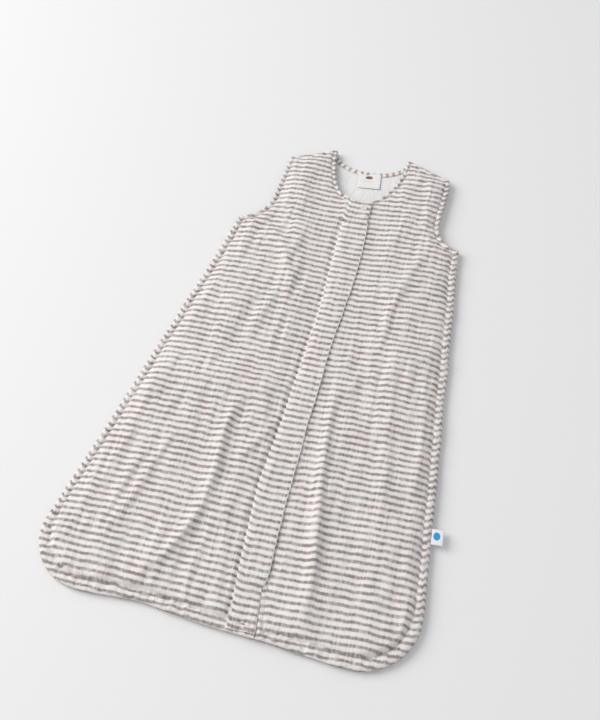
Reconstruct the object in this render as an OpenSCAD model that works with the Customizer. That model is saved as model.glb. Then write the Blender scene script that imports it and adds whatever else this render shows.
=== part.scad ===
// Sleeveless baby sleeping bag, lying on its back with the zip closed.
// +X is to the right as one looks at its front, which is the wearer's left,
// +Y points to the neck and +Z is up. The origin is the middle of the
// underside. Left and right in the names are as one looks at the front.

/* [Outline] */
// Length from the hem to the neck end of the shoulder seam
body_len = 745; // [700:5:800]
// Half of the width at the widest place of the skirt
hem_half = 240; // [200:2:260]
// Half of the width at the underarm
chest_half = 161; // [150:1:170]
// Height of the underarm point above the hem
underarm_y = 595; // [580:1:610]
// Radius of the two bottom corners
corner_r = 68; // [50:1:80]
// Half of the width across the shoulder tips
shoulder_half = 122; // [116:1:128]
// How far the shoulder seam drops from the neck to its tip
shoulder_drop = 27; // [15:1:35]
// Width and height of the armhole's round lower part
armhole_r = [38, 45]; // [30:1:50]
// Half of the width of the neck opening
neck_half = 53; // [48:1:58]
// Depth of the front neckline
neck_front = 96; // [80:1:100]
// Depth of the back neckline
neck_back = 29; // [20:1:40]
// How far the skirt has swung to the wearer's right as the bag lies
lay_swing = 42; // [0:1:50]
// How far the hem has turned with the skirt, in degrees
lay_turn = 2.5; // [0:0.5:3]

/* [Layers] */
// Thickness of the outer muslin, front and back
outer_t = 2.0; // [1.5:0.1:2.5]
// Thickness of the lining
lining_t = 1.0; // [0.8:0.1:1.2]
// Height of the space for the baby while the bag lies flat
cavity_h = 5.8; // [5:0.2:9]
// Width of the turned and topstitched edges
edge_w = 6; // [5:0.5:8]

/* [Zip] */
// Height of the zip's bottom stop above the hem
zip_bottom = 84; // [80:1:100]
// Height of the zip's top end above the hem
zip_top = 632; // [620:1:636]
// Distance between neighbouring teeth
tooth_pitch = 4; // [3:0.5:6]
// Length of the slider
slider_len = 13; // [10:0.5:14]
// Length of the slider's pull tab
pull_len = 24; // [15:1:25]

/* [Placket] */
// Where the placket's free edge lies beside the zip
placket_free = 14; // [12:1:16]
// Where the placket's sewn edge lies beside the zip
placket_sewn = -30; // [-34:1:-28]
// Height of the placket's lower end above the hem
placket_bottom = 54; // [45:1:70]
// Length of the tab at the top of the placket, which the snap holds
tab_len = 38; // [35:1:42]

/* [Front opening] */
// Height at which the two fold lines of the open front meet
fold_apex = 110; // [104:2:116]
// Half of the distance between the fold lines at the neck edge
fold_half = 44; // [42:1:46]

/* [Hidden] */
gap = 0.3;          // running clearance between bodies
ply = 0.2;          // clearance between neighbouring layers
big = 1000;         // larger than the whole bag
arc_steps = 14;     // straight pieces in each round stretch
side_lean = atan((hem_half - chest_half) / (underarm_y - corner_r));
swing_top = 700;    // height above which the bag has not swung

z_back = [0, outer_t];
z_back_lining = [z_back[1] + ply, z_back[1] + ply + lining_t];
z_lining = [z_back_lining[1] + cavity_h, z_back_lining[1] + cavity_h + lining_t];
z_tape = [z_lining[1] + ply, z_lining[1] + ply + 0.6];
z_front = [z_tape[1] + ply, z_tape[1] + ply + outer_t];
placket_t = 1.5;
z_placket = [z_front[1] + 1.5, z_front[1] + 1.5 + placket_t];

teeth_x = [0.7, 3.4];    // zip teeth, from tip to root
tape_x = [3.4, 16];      // zip tape, from its toothed edge outwards
facing_x = [6, 12];      // turned-in strip of the front beside the zip
teeth_z = [z_tape[0] - 0.4, z_tape[1] + 0.4];
teeth_end = 3;           // plain tape above the teeth
stop_len = 2.4;
tooth_fill = 0.55;       // share of the pitch that a tooth takes

slider_half = 4.3;
slider_y = zip_top - 5 - slider_len / 2;
slider_top = [teeth_z[1] + gap, teeth_z[1] + gap + 0.6];
slider_bottom = [teeth_z[0] - gap - 0.6, teeth_z[0] - gap];
pull_half = 3;
bar_z = slider_top[1] + 0.75;
bar_r = 0.5;

snap_x = 8.5;
snap_y = zip_top + 6;
snap_r = 3.6;
cap_r = 4.5;
post_r = 1;

fold_slope = fold_half / (neck_point_y(fold_half) - fold_apex);
flag_out = 9;
flag_y = [156, 176];
label_size = [34, 31];
label_at = [4, 699];

// ---- outline of the bag ----

// Height of the front neckline at the half width x.
function neck_point_y(x) = body_len - neck_front * sqrt(1 - pow(x / neck_half, 2));

// Share of the swing at a height: none at the shoulders, all at the corners.
function swing_share(y) = max(0, min(1, (swing_top - y) / (swing_top - corner_r)));

// Where a point of the cut shape comes to lie once the skirt has swung.
function lay(p) = [p[0] - lay_swing * swing_share(p[1]),
  p[1] - tan(lay_turn) * p[0] * pow(swing_share(p[1]), 2)];

// Height of the shoulder seam, moved in by an inset, at a half width.
function shoulder_y(x, inset) = body_len - inset
  - shoulder_drop * (x - neck_half) / (shoulder_half - neck_half);

// Bottom corner of the +X side, from the hem up to the side seam.
function corner_points(inset) = [for (i = [0:arc_steps])
  let (a = -90 + (90 + side_lean) * i / arc_steps)
  [hem_half - corner_r + (corner_r - inset) * cos(a),
   corner_r + (corner_r - inset) * sin(a)]];

// Armhole of the +X side, from the underarm point up to the shoulder tip.
function armhole_points(inset) =
  let (r = [armhole_r[0] + inset, armhole_r[1] + inset],
       first = -90 - asin(inset / r[0]))
  concat([for (i = [0:arc_steps])
    let (a = first + (-180 - first) * i / arc_steps)
    [chest_half + r[0] * cos(a), underarm_y + armhole_r[1] + r[1] * sin(a)]],
    [[shoulder_half - inset, shoulder_y(shoulder_half - inset, inset)]]);

// Neckline of the +X side, from the shoulder down to the middle.
function neck_points(inset, depth) =
  let (w = neck_half + inset,
       d = depth + inset,
       first = asin(min(0, (shoulder_y(w, inset) - body_len) / d)))
  [for (i = [0:arc_steps])
    let (a = first + (-90 - first) * i / arc_steps)
    [w * cos(a), body_len + d * sin(a)]];

function half_outline(inset, depth) = concat([[0, inset]], corner_points(inset),
  armhole_points(inset), neck_points(inset, depth));

function mirrored(points) = [for (i = [len(points) - 1:-1:0])
  [-points[i][0], points[i][1]]];

function outline(inset, depth) =
  [for (p = concat(half_outline(inset, depth), mirrored(half_outline(inset, depth))))
    lay(p)];

// Where the flag label is sewn into the side seam.
flag_edge = lay([hem_half - (flag_y[0] - corner_r) * tan(side_lean), flag_y[0]])[0];

// Middle of the underside, which is the part's origin.
edge_points = outline(0, neck_back);
x_reach = concat([for (p = edge_points) p[0]], [flag_edge + flag_out]);
y_reach = [for (p = edge_points) p[1]];
middle = [(min(x_reach) + max(x_reach)) / 2, (min(y_reach) + max(y_reach)) / 2];

module in_frame() {
  translate([-middle[0], -middle[1], 0]) children();
}

// A flat layer of the bag's shape between two heights.
module layer(z, inset, depth) {
  translate([0, 0, z[0]])
    linear_extrude(z[1] - z[0]) polygon(outline(inset, depth));
}

// A box given by its lowest and highest corners.
module block(low, high) {
  translate(low) cube(high - low);
}

// Everything on one side of the zip, from a distance x outwards.
module beside_zip(side, x) {
  if (side < 0) block([-big, -big, -1], [-x, big, 99]);
  else block([x, -big, -1], [big, big, 99]);
}

// The region that one half of the open front folds away from.
module folding_region(side, clearance) {
  reach = body_len + 50;
  apex = fold_apex - clearance;
  translate([0, 0, -1]) linear_extrude(100)
    polygon([[side * clearance, apex], [-side * 60, apex], [-side * 60, reach],
      [side * (clearance + fold_slope * (reach - apex)), reach]]);
}

// Flat edge strip: the layer's outline less the same outline moved inwards.
module edge_strip(z, depth) {
  difference() {
    layer(z, 0, depth);
    layer([z[0] - 1, z[1] + 1], edge_w - ply, depth);
  }
}

// ---- fabric ----

module back_panel() {
  color("#d8d4cf") in_frame() layer(z_back, edge_w, neck_back);
}

module back_lining() {
  color("#f4f2ee") in_frame() layer(z_back_lining, edge_w, neck_back);
}

// Fixed half of a front layer: outside the fold line, and below the zip up to the middle.
module fixed_half(side, z, beside, seam) {
  difference() {
    intersection() {
      layer(z, edge_w, neck_front);
      union() {
        beside_zip(side, beside);
        intersection() {
          beside_zip(side, seam);
          block([-big, -big, -1], [big, zip_bottom - 6, 99]);
        }
      }
    }
    folding_region(side, gap);
  }
}

module front_left_panel() {
  color("#cfcac4") in_frame() fixed_half(-1, z_front, facing_x[0], ply / 2);
}

module front_right_panel() {
  color("#cfcac4") in_frame() fixed_half(1, z_front, facing_x[0], ply / 2);
}

module front_left_lining() {
  color("#f4f2ee") in_frame() fixed_half(-1, z_lining, facing_x[1], ply / 2);
}

module front_right_lining() {
  color("#f4f2ee") in_frame() fixed_half(1, z_lining, facing_x[1], ply / 2);
}

// Moving half of a front layer: between the fold line and the zip.
module lapel(side, z) {
  intersection() {
    layer(z, edge_w, neck_front);
    beside_zip(side, facing_x[1]);
    folding_region(side, 0);
  }
}

module lapel_left() {
  color("#c8c3bd") in_frame() lapel(-1, z_front);
}

module lapel_right() {
  color("#c8c3bd") in_frame() difference() {
    lapel(1, z_front);
    snap_hole();
  }
}

module lapel_left_lining() {
  color("#efece6") in_frame() lapel(-1, z_lining);
}

module lapel_right_lining() {
  color("#efece6") in_frame() lapel(1, z_lining);
}

// Turned-in strip of the front's edge beside the zip, on the moving half.
module facing(side) {
  intersection() {
    layer(z_front, edge_w, neck_front);
    beside_zip(side, facing_x[0]);
    beside_zip(-side, -facing_x[1] + ply);
    folding_region(side, 0);
  }
}

module facing_left() {
  color("#bdb8b1") in_frame() facing(-1);
}

module facing_right() {
  color("#bdb8b1") in_frame() difference() {
    facing(1);
    snap_hole();
  }
}

// ---- edges and seams ----

// The neck edge of one layer, between the two shoulder seams.
module neck_strip(z, depth) {
  intersection() {
    edge_strip(z, depth);
    block([-neck_half - edge_w, body_len - depth - 9, -1], [neck_half + edge_w, big, 99]);
  }
}

module neck_binding_back() {
  color("#b9b2aa") in_frame() intersection() {
    neck_strip([z_back[0], z_back_lining[1]], neck_back);
    block([-neck_half, -big, -1], [neck_half, big, 99]);
  }
}

module neck_binding_half(side) {
  intersection() {
    neck_strip([z_lining[0], z_front[1]], neck_front);
    beside_zip(side, facing_x[0]);
    folding_region(side, 0);
  }
}

module neck_binding_left() {
  color("#b9b2aa") in_frame() neck_binding_half(-1);
}

module neck_binding_right() {
  color("#b9b2aa") in_frame() neck_binding_half(1);
}

// The armhole's edge on the front and on the back, joined at both ends.
module armhole_binding(side) {
  joint_len = 5;
  x = side > 0 ? [90, 200] : [-200, -90];
  top = shoulder_y(shoulder_half, 0) - edge_w - 2;
  bottom = underarm_y + 4;
  intersection() {
    edge_strip([0, z_front[1]], neck_front);
    union() {
      block([x[0], bottom, 0], [x[1], top, z_back_lining[1]]);
      block([x[0], bottom, z_lining[0]], [x[1], top, z_front[1]]);
      block([x[0], bottom, 0], [x[1], bottom + joint_len, z_front[1]]);
      block([x[0], top - joint_len, 0], [x[1], top, z_front[1]]);
    }
  }
}

module armhole_binding_left() {
  color("#b9b2aa") in_frame() armhole_binding(-1);
}

module armhole_binding_right() {
  color("#b9b2aa") in_frame() armhole_binding(1);
}

// Shoulder seam: joins front and back from the neck to the armhole, and
// ends in the front's neck edge down to the fold line.
module shoulder_seam(side) {
  x = side > 0 ? [neck_half + ply, 200] : [-200, -neck_half - ply];
  end_x = side > 0 ? [fold_half - 4, neck_half + 1] : [-neck_half - 1, -fold_half + 4];
  difference() {
    intersection() {
      edge_strip([0, z_front[1]], neck_front);
      union() {
        block([x[0], shoulder_y(shoulder_half, 0) - edge_w - 2 + ply, -1],
          [x[1], big, 99]);
        block([end_x[0], neck_point_y(fold_half) - 8, z_lining[0]],
          [end_x[1], big, z_front[1]]);
      }
    }
    folding_region(side, gap);
    layer([-1, z_back_lining[1] + ply], edge_w - ply, neck_back);
  }
}

module shoulder_seam_left() {
  color("#a9a29a") in_frame() shoulder_seam(-1);
}

module shoulder_seam_right() {
  color("#a9a29a") in_frame() shoulder_seam(1);
}

// Side seam: joins front and back from the bottom corner to the underarm.
module side_seam(side) {
  x = side > 0 ? [0, 400] : [-400, 0];
  intersection() {
    edge_strip([0, z_front[1]], neck_front);
    block([x[0], corner_r + 25, -1], [x[1], underarm_y + 4 - ply, 99]);
  }
}

module side_seam_left() {
  color("#a9a29a") in_frame() side_seam(-1);
}

module side_seam_right() {
  color("#a9a29a") in_frame() side_seam(1);
}

module hem_seam() {
  color("#a39c94") in_frame() intersection() {
    edge_strip([0, z_front[1]], neck_front);
    block([-400, -50, -1], [400, corner_r + 25 - ply, 99]);
  }
}

// ---- placket, which covers the zip ----

// The placket's cross-section: a sewn foot and a flap that bridges the zip.
module placket_bar(y) {
  foot = placket_sewn + 7.5;
  translate([0, y[1], 0]) rotate([90, 0, 0]) linear_extrude(y[1] - y[0])
    polygon([[placket_sewn, z_front[1]], [foot, z_front[1]], [foot + 2, z_placket[0]],
      [placket_free, z_placket[0]], [placket_free, z_placket[1]],
      [foot + 1.6, z_placket[1]], [foot - 0.4, z_front[1] + placket_t],
      [placket_sewn, z_front[1] + placket_t]]);
}

module placket_lower() {
  color("#c2bcb5") in_frame() difference() {
    placket_bar([placket_bottom, zip_top]);
    folding_region(-1, gap);
  }
}

tab_top = body_len - neck_front + 1;
tab_hinge = placket_sewn + 8;

module placket_upper() {
  color("#c2bcb5") in_frame() intersection() {
    union() {
      placket_bar([placket_bottom, tab_top - tab_len - gap]);
      intersection() {
        placket_bar([tab_top - tab_len - 1, tab_top]);
        beside_zip(-1, -tab_hinge);
      }
    }
    folding_region(-1, 0);
  }
}

module placket_tab() {
  color("#b7b1aa") in_frame() difference() {
    intersection() {
      placket_bar([tab_top - tab_len, tab_top]);
      beside_zip(1, tab_hinge + gap);
    }
    snap_hole();
  }
}

// ---- zip ----

module tape(side, y) {
  x = side > 0 ? tape_x : [-tape_x[1], -tape_x[0]];
  block([x[0], y[0], z_tape[0]], [x[1], y[1], z_tape[1]]);
}

module tape_lower(side) {
  difference() {
    tape(side, [zip_bottom - 6, zip_top]);
    folding_region(side, gap);
  }
}

module tape_upper(side) {
  intersection() {
    tape(side, [fold_apex, zip_top]);
    folding_region(side, 0);
  }
}

module zip_tape_left_lower() {
  color("#efece6") in_frame() tape_lower(-1);
}

module zip_tape_right_lower() {
  color("#efece6") in_frame() tape_lower(1);
}

module zip_tape_left_upper() {
  color("#f7f5f1") in_frame() tape_upper(-1);
}

module zip_tape_right_upper() {
  color("#f7f5f1") in_frame() tape_upper(1);
}

// A comb of teeth on one tape edge, between two heights.
module comb(side, y) {
  count = floor((y[1] - y[0]) / tooth_pitch);
  half = side > 0 ? 0 : tooth_pitch / 2;
  root = teeth_x[1] - 0.9;
  tooth = tooth_pitch * tooth_fill;
  points = concat([[teeth_x[1], y[0]], [root, y[0]]],
    [for (i = [0:count - 1], k = [0:3])
      let (base = y[0] + half + i * tooth_pitch,
           up = k < 2 ? 0.2 : tooth + 0.2,
           x = k == 0 || k == 3 ? root : teeth_x[0])
      [x, min(y[1] - 0.1, base + up)]],
    [[root, y[1]], [teeth_x[1], y[1]]]);
  translate([0, 0, teeth_z[0]]) linear_extrude(teeth_z[1] - teeth_z[0])
    polygon([for (p = points) [side * p[0], p[1]]]);
}

// Height where a fold line passes outside the teeth.
teeth_split = fold_apex + teeth_x[1] / fold_slope;

module zip_teeth_left_lower() {
  color("#dedad3") in_frame() comb(-1, [zip_bottom, teeth_split - gap]);
}

module zip_teeth_right_lower() {
  color("#dedad3") in_frame() comb(1, [zip_bottom, teeth_split - gap]);
}

module zip_teeth_left_upper() {
  color("#e8e5df") in_frame() comb(-1, [teeth_split, zip_top - teeth_end]);
}

module zip_teeth_right_upper() {
  color("#e8e5df") in_frame() comb(1, [teeth_split, zip_top - teeth_end]);
}

module stop_pair_block(x, y) {
  block([x[0], y, teeth_z[0] - 0.1], [x[1], y + stop_len, teeth_z[1] + 0.1]);
}

module zip_top_stop_left() {
  color("#c9c6c0") in_frame()
    stop_pair_block([-teeth_x[1], -teeth_x[0]], zip_top - teeth_end + ply);
}

module zip_top_stop_right() {
  color("#c9c6c0") in_frame()
    stop_pair_block([teeth_x[0], teeth_x[1]], zip_top - teeth_end + ply);
}

module zip_bottom_stop() {
  color("#c9c6c0") in_frame()
    stop_pair_block([-teeth_x[1], teeth_x[1]], zip_bottom - stop_len - ply);
}

// Two plates joined by a post between the teeth, lips that hold the tape
// in, and a crown on top that the pull tab's bar turns in.
module slider_body() {
  y = [slider_y - slider_len / 2, slider_y + slider_len / 2];
  lip = 0.5;
  post_half = 0.35;
  crown_half = 0.9;
  crown_leg = [1.4, 2.4];
  crown_z = [slider_top[1], bar_z + bar_r + 0.75];
  color("#b8b6b2") in_frame() union() {
    block([-slider_half, y[0], slider_bottom[0]], [slider_half, y[1], slider_bottom[1]]);
    block([-slider_half, y[0], slider_top[0]], [slider_half, y[1], slider_top[1]]);
    block([-post_half, slider_y + 1, slider_bottom[0]], [post_half, y[1], slider_top[1]]);
    for (side = [-1, 1]) {
      x = side > 0 ? [slider_half - lip, slider_half] : [-slider_half, -slider_half + lip];
      block([x[0], y[0], slider_bottom[0]], [x[1], y[1], z_tape[0] - gap]);
      block([x[0], y[0], z_tape[1] + gap], [x[1], y[1], slider_top[1]]);
      leg = side > 0 ? crown_leg : [-crown_leg[1], -crown_leg[0]];
      block([-crown_half, slider_y + leg[0], slider_top[0]],
        [crown_half, slider_y + leg[1], crown_z[1]]);
    }
    block([-crown_half, slider_y - crown_leg[1], crown_z[1] - 0.5],
      [crown_half, slider_y + crown_leg[1], crown_z[1]]);
  }
}

// A flat tab with a window round the crown's leg, on a bar under the crown.
module pull_tab() {
  plate_t = 0.9;
  window = [3, 5];
  color("#a9a7a3") in_frame() translate([0, slider_y, bar_z]) union() {
    translate([-pull_half, 0, 0]) rotate([0, 90, 0])
      cylinder(r = bar_r, h = 2 * pull_half, $fn = 24);
    difference() {
      translate([0, 0, -plate_t / 2]) linear_extrude(plate_t) union() {
        translate([-pull_half, -pull_len + pull_half])
          square([2 * pull_half, pull_len - pull_half]);
        translate([0, -pull_len + pull_half]) circle(r = pull_half, $fn = 40);
      }
      translate([-window[0] / 2, -window[1], -1]) cube([window[0], window[1] + 1, 2]);
      translate([0, -pull_len + pull_half, -1]) cylinder(r = 1.2, h = 2, $fn = 24);
    }
  }
}

// ---- snap fastener ----

module at_snap(z) {
  translate([snap_x, snap_y, z]) children();
}

module snap_hole() {
  at_snap(-1) cylinder(r = post_r + gap, h = 99, $fn = 32);
}

module snap_cap() {
  color("#e9e7e3") in_frame() union() {
    at_snap(z_placket[1]) cylinder(r1 = cap_r, r2 = cap_r - 0.8, h = 0.9, $fn = 48);
    at_snap(z_placket[0]) cylinder(r = post_r, h = placket_t + 0.1, $fn = 24);
  }
}

module snap_socket() {
  color("#dcdad6") in_frame() at_snap(z_placket[0] - 0.9) difference() {
    cylinder(r = snap_r, h = 0.9, $fn = 40);
    translate([0, 0, -1]) cylinder(r = 2.1, h = 3, $fn = 32);
  }
}

module snap_stud() {
  color("#cfcdc8") in_frame() union() {
    at_snap(z_front[1]) cylinder(r = snap_r, h = 0.3, $fn = 40);
    at_snap(z_front[1]) cylinder(r = 1.7, h = 1.2, $fn = 32);
    at_snap(z_lining[1] + ply) cylinder(r = post_r, h = z_front[1] - z_lining[1], $fn = 24);
  }
}

module snap_ring() {
  color("#c4c2bd") in_frame() at_snap(z_lining[1] + 0.1) difference() {
    cylinder(r = snap_r, h = 0.7, $fn = 40);
    translate([0, 0, -1]) cylinder(r = post_r + 0.1, h = 3, $fn = 24);
  }
}

// ---- labels ----

module neck_label() {
  color("#ffffff") in_frame()
    translate([label_at[0] - label_size[0] / 2, label_at[1] - label_size[1] / 2,
      z_back_lining[1] + 0.05])
      cube([label_size[0], label_size[1], 0.35]);
}

module flag_label() {
  mid = z_front[1] / 2;
  color("#f2f6fa") in_frame()
    block([flag_edge + ply, flag_y[0], mid - 0.4], [flag_edge + flag_out, flag_y[1], mid + 0.4]);
}

back_panel();
back_lining();
front_left_panel();
front_right_panel();
front_left_lining();
front_right_lining();
lapel_left();
lapel_right();
lapel_left_lining();
lapel_right_lining();
facing_left();
facing_right();
neck_binding_back();
neck_binding_left();
neck_binding_right();
armhole_binding_left();
armhole_binding_right();
shoulder_seam_left();
shoulder_seam_right();
side_seam_left();
side_seam_right();
hem_seam();
placket_lower();
placket_upper();
placket_tab();
zip_tape_left_lower();
zip_tape_right_lower();
zip_tape_left_upper();
zip_tape_right_upper();
zip_teeth_left_lower();
zip_teeth_right_lower();
zip_teeth_left_upper();
zip_teeth_right_upper();
zip_top_stop_left();
zip_top_stop_right();
zip_bottom_stop();
slider_body();
pull_tab();
snap_cap();
snap_socket();
snap_stud();
snap_ring();
neck_label();
flag_label();
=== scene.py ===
"""Looks of a sleeveless baby sleeping bag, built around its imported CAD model.

The bag lies on its back with the zip closed. Shapes are worked out in
millimetres on the bag as it lies, x from the zip towards the bag's right edge
as one looks at it, y up from the hem and z up from the floor. placed() turns
them into the frame's metres. Each cloth piece keeps, as its UV map, where
its points lie on the woven cloth, and the stripes follow that map.
"""

import math
from collections import namedtuple

import bpy
import numpy as np
from mathutils import Matrix, Vector, geometry, kdtree


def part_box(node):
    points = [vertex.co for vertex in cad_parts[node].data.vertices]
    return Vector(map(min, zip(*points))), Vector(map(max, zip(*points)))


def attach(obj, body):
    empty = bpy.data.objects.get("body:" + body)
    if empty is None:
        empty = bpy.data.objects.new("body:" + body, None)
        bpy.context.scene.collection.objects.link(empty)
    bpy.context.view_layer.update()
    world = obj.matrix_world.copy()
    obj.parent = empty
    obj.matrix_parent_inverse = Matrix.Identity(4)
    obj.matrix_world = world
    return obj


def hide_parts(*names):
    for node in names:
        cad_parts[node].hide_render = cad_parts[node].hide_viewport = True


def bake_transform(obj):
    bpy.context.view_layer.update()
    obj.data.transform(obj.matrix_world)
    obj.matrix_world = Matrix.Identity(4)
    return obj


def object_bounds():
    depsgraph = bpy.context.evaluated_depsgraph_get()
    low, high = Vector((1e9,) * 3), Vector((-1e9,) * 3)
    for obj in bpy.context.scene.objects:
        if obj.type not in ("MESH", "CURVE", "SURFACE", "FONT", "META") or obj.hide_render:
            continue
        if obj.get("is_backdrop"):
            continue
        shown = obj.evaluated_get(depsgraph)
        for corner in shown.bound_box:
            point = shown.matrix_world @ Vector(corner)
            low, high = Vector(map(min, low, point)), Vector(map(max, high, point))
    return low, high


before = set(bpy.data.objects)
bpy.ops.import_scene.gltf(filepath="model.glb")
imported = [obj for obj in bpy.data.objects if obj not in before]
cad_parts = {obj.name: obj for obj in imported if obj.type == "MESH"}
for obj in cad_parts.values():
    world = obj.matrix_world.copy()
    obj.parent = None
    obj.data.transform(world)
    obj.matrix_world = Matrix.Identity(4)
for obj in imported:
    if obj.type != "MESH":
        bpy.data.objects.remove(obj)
cad_low, cad_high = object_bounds()

# ---- the bag's outline, in millimetres ----

MM = 0.001
BODY_LEN = 745
HEM_HALF = 240
CHEST_HALF = 161
UNDERARM_Y = 595
CORNER_R = 68
SHOULDER_HALF = 122
SHOULDER_DROP = 27
ARMHOLE_R = (38, 45)
NECK_HALF = 53
NECK_FRONT = 96
NECK_BACK = 29
LAY_SWING = 42          # how far the skirt has swung to the left at the hem, from none at SWING_TOP
LAY_TURN = math.radians(2.5)
SWING_TOP = 700
SIDE_LEAN = math.atan((HEM_HALF - CHEST_HALF) / (UNDERARM_Y - CORNER_R))

# Front opening: the zip, the fold lines of the open front and the placket.
ZIP_BOTTOM = 84
FRONT_EDGE = 5
FOLD_APEX = 110
FOLD_HALF = 44
FOLD_BEND = (3.5, 15)   # the cloth bends between these distances past a fold line
SEAM_TOP = 54           # top of the seam below the zip, and its x there and at the hem
SEAM_X = (7, 12)
TAB_BOTTOM = 612
TAB_HINGE = (-26, -18)  # the tab above the zip bends between these two x
PLACKET_SEAM = [(40, -27), (110, -31), (190, -34), (295, -26), (450, -19), (600, -20), (660, -15)]
PLACKET_EDGE = [(40, 8), (110, 9), (190, 9), (307, 9.5), (402, 12), (456, 17)]
PLACKET_EDGE += [(510, 20.5), (600, 20), (660, 17)]

STEP = 2.2              # spacing of the cloth's points
# Distances in from the edge of the rings of a cloth's points.
RING_STEPS = (0, 0.7, 1.6, 2.8, 4.2, 5.6, 6.8, 7.8, 8.8, 10.2, 12)
LINING_RINGS = (2.2, 3.2, 4.6, 6.2, 8.2, 10.2, 12)
LINING_GAP = 0.7        # least distance between the lining and the outer cloth
LINING_Z = {"back": 3.0, "front": 9.5}

zip_x = (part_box("zip_teeth_left_upper")[1].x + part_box("zip_teeth_right_upper")[0].x) / 2
hem_y = cad_high.y - BODY_LEN * MM


def placed(points):
    """Points in millimetres on the bag, as metres in the frame."""
    return np.asarray(points, float) * MM + np.array([zip_x, hem_y, 0])


# ---- small tools ----


def smooth(t):
    """0 before 0, 1 after 1 and a soft step between."""
    t = np.clip(t, 0, 1)
    return t * t * (3 - 2 * t)


def spline_at(table, row, column):
    """A table's values, smoothed, at places counted in its rows and columns. It repeats past its ends."""
    i0, j0 = np.floor(row).astype(int), np.floor(column).astype(int)
    total = 0
    for i, wi in enumerate(spline_weights(row - i0)):
        for j, wj in enumerate(spline_weights(column - j0)):
            total = total + wi * wj * table[(i0 + i - 1) % table.shape[0], (j0 + j - 1) % table.shape[1]]
    return total


def noise(x, y, size, seed):
    """Smooth random heights, about -1 to 1, with bumps of the given size along x and y."""
    table = np.random.default_rng(seed).uniform(-1, 1, (128, 128))
    row, column = np.asarray(x, float) / size[0], np.asarray(y, float) / size[1]
    return 1.9 * spline_at(table, row + 40.5, column + 40.5)


def wobble(along, size, seed):
    """Smooth random heights along a line, about -1 to 1, with bumps of the given size."""
    return noise(along, 0 * along, (size, 9), seed)


def hump(distance, width):
    """1 at no distance, with a soft fall to 0 on both sides."""
    return np.exp(-((distance / width) ** 2))


def round_rise(distance, roll):
    """0 at an edge and 1 past its roll, along a quarter circle."""
    return np.sqrt(np.clip(1 - (1 - np.clip(distance / roll, 0, 1)) ** 2, 0, 1))


def curve_at(y, points):
    """x at each height of a line given as (y, x) points from the bottom up, with its corners softened."""
    rows = np.asarray(points, float)
    fine = np.arange(rows[0, 0] - 60, rows[-1, 0] + 60)
    window = np.hanning(61)
    soft = np.convolve(np.interp(fine, rows[:, 0], rows[:, 1]), window / window.sum(), "same")
    return np.interp(y, fine, soft)


def spline_weights(t):
    """The four weights of a cubic B-spline at t between two lattice points."""
    return (
        (1 - t) ** 3 / 6,
        (3 * t**3 - 6 * t**2 + 4) / 6,
        (-3 * t**3 + 3 * t**2 + 3 * t + 1) / 6,
        t**3 / 6,
    )


def resampled(points, step, closed=True):
    """The same line with points about one step apart, and each new point's place along it."""
    points = np.asarray(points, float)
    if closed:
        points = np.vstack([points, points[:1]])
    along = np.concatenate([[0], np.cumsum(np.linalg.norm(np.diff(points, axis=0), axis=1))])
    count = max(3, round(along[-1] / step))
    wanted = np.linspace(0, along[-1], count + 1)[: -1 if closed else None]
    new = np.column_stack([np.interp(wanted, along, points[:, k]) for k in range(points.shape[1])])
    return new, wanted, along[-1]


def ring_blur(values, sigma):
    """Values round a closed ring, blurred over sigma points."""
    values = np.asarray(values, float)
    n = len(values)
    offsets = np.minimum(np.arange(n), n - np.arange(n))
    kernel = np.exp(-0.5 * (offsets / sigma) ** 2)
    kernel /= kernel.sum()
    shaped = kernel if values.ndim == 1 else kernel[:, None]
    return np.real(np.fft.ifft(np.fft.fft(values, axis=0) * np.fft.fft(shaped, axis=0), axis=0))


def outward(ring, blur):
    """Unit vectors that point out of a counterclockwise ring, turning softly at its corners."""
    ahead, behind = np.roll(ring, -1, 0), np.roll(ring, 1, 0)
    along = ahead - behind
    along = along / np.linalg.norm(along, axis=1)[:, None]
    normal = np.column_stack([along[:, 1], -along[:, 0]])
    normal = ring_blur(normal, blur)
    return normal / np.linalg.norm(normal, axis=1)[:, None]


def crossings(ring, level):
    """x of each place where a ring of points crosses a height, from left to right."""
    ahead = np.roll(ring, -1, 0)
    crosses = (ring[:, 1] <= level) != (ahead[:, 1] <= level)
    a, b = ring[crosses], ahead[crosses]
    return np.sort(a[:, 0] + (level - a[:, 1]) / (b[:, 1] - a[:, 1]) * (b[:, 0] - a[:, 0]))


# ---- outline of the bag ----

# Long waves of the hem as it lies: middle, half width and rise.
HEM_WAVES = [(-140, 60, 6.5), (105, 50, -5.5)]


def swing_share(y):
    """Share of the skirt's swing at a height."""
    return np.clip((SWING_TOP - y) / (SWING_TOP - CORNER_R), 0, 1)


def lay(points):
    """Where points of the cut shape lie once the skirt has swung to one side."""
    x, y = np.asarray(points, float).T
    share = swing_share(y)
    laid_x, laid_y = x - LAY_SWING * share, y - math.tan(LAY_TURN) * x * share**2
    near_hem = smooth((60 - y) / 50) * smooth((np.abs(laid_x - SEAM_X[1]) - 8) / 25)
    near_side = smooth((np.abs(x) - 130) / 30) * smooth(y / 60)
    sway = 0.9 * noise(y, np.sign(x), (22, 9), 94)
    sag = 1.3 * wobble(laid_x, 24, 93)
    for middle, half, rise in HEM_WAVES:
        sag = sag + rise * hump(laid_x - middle, half)
    return np.column_stack([laid_x + sway * near_side, laid_y + sag * near_hem])


def arc(centre, radii, first, last):
    """Points along part of an ellipse, between two angles in degrees."""
    a = np.radians(np.linspace(first, last, 60))
    return np.column_stack([centre[0] + radii[0] * np.cos(a), centre[1] + radii[1] * np.sin(a)])


def shoulder_y(x):
    """Height of the shoulder seam at a half width."""
    return BODY_LEN - SHOULDER_DROP * (x - NECK_HALF) / (SHOULDER_HALF - NECK_HALF)


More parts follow.
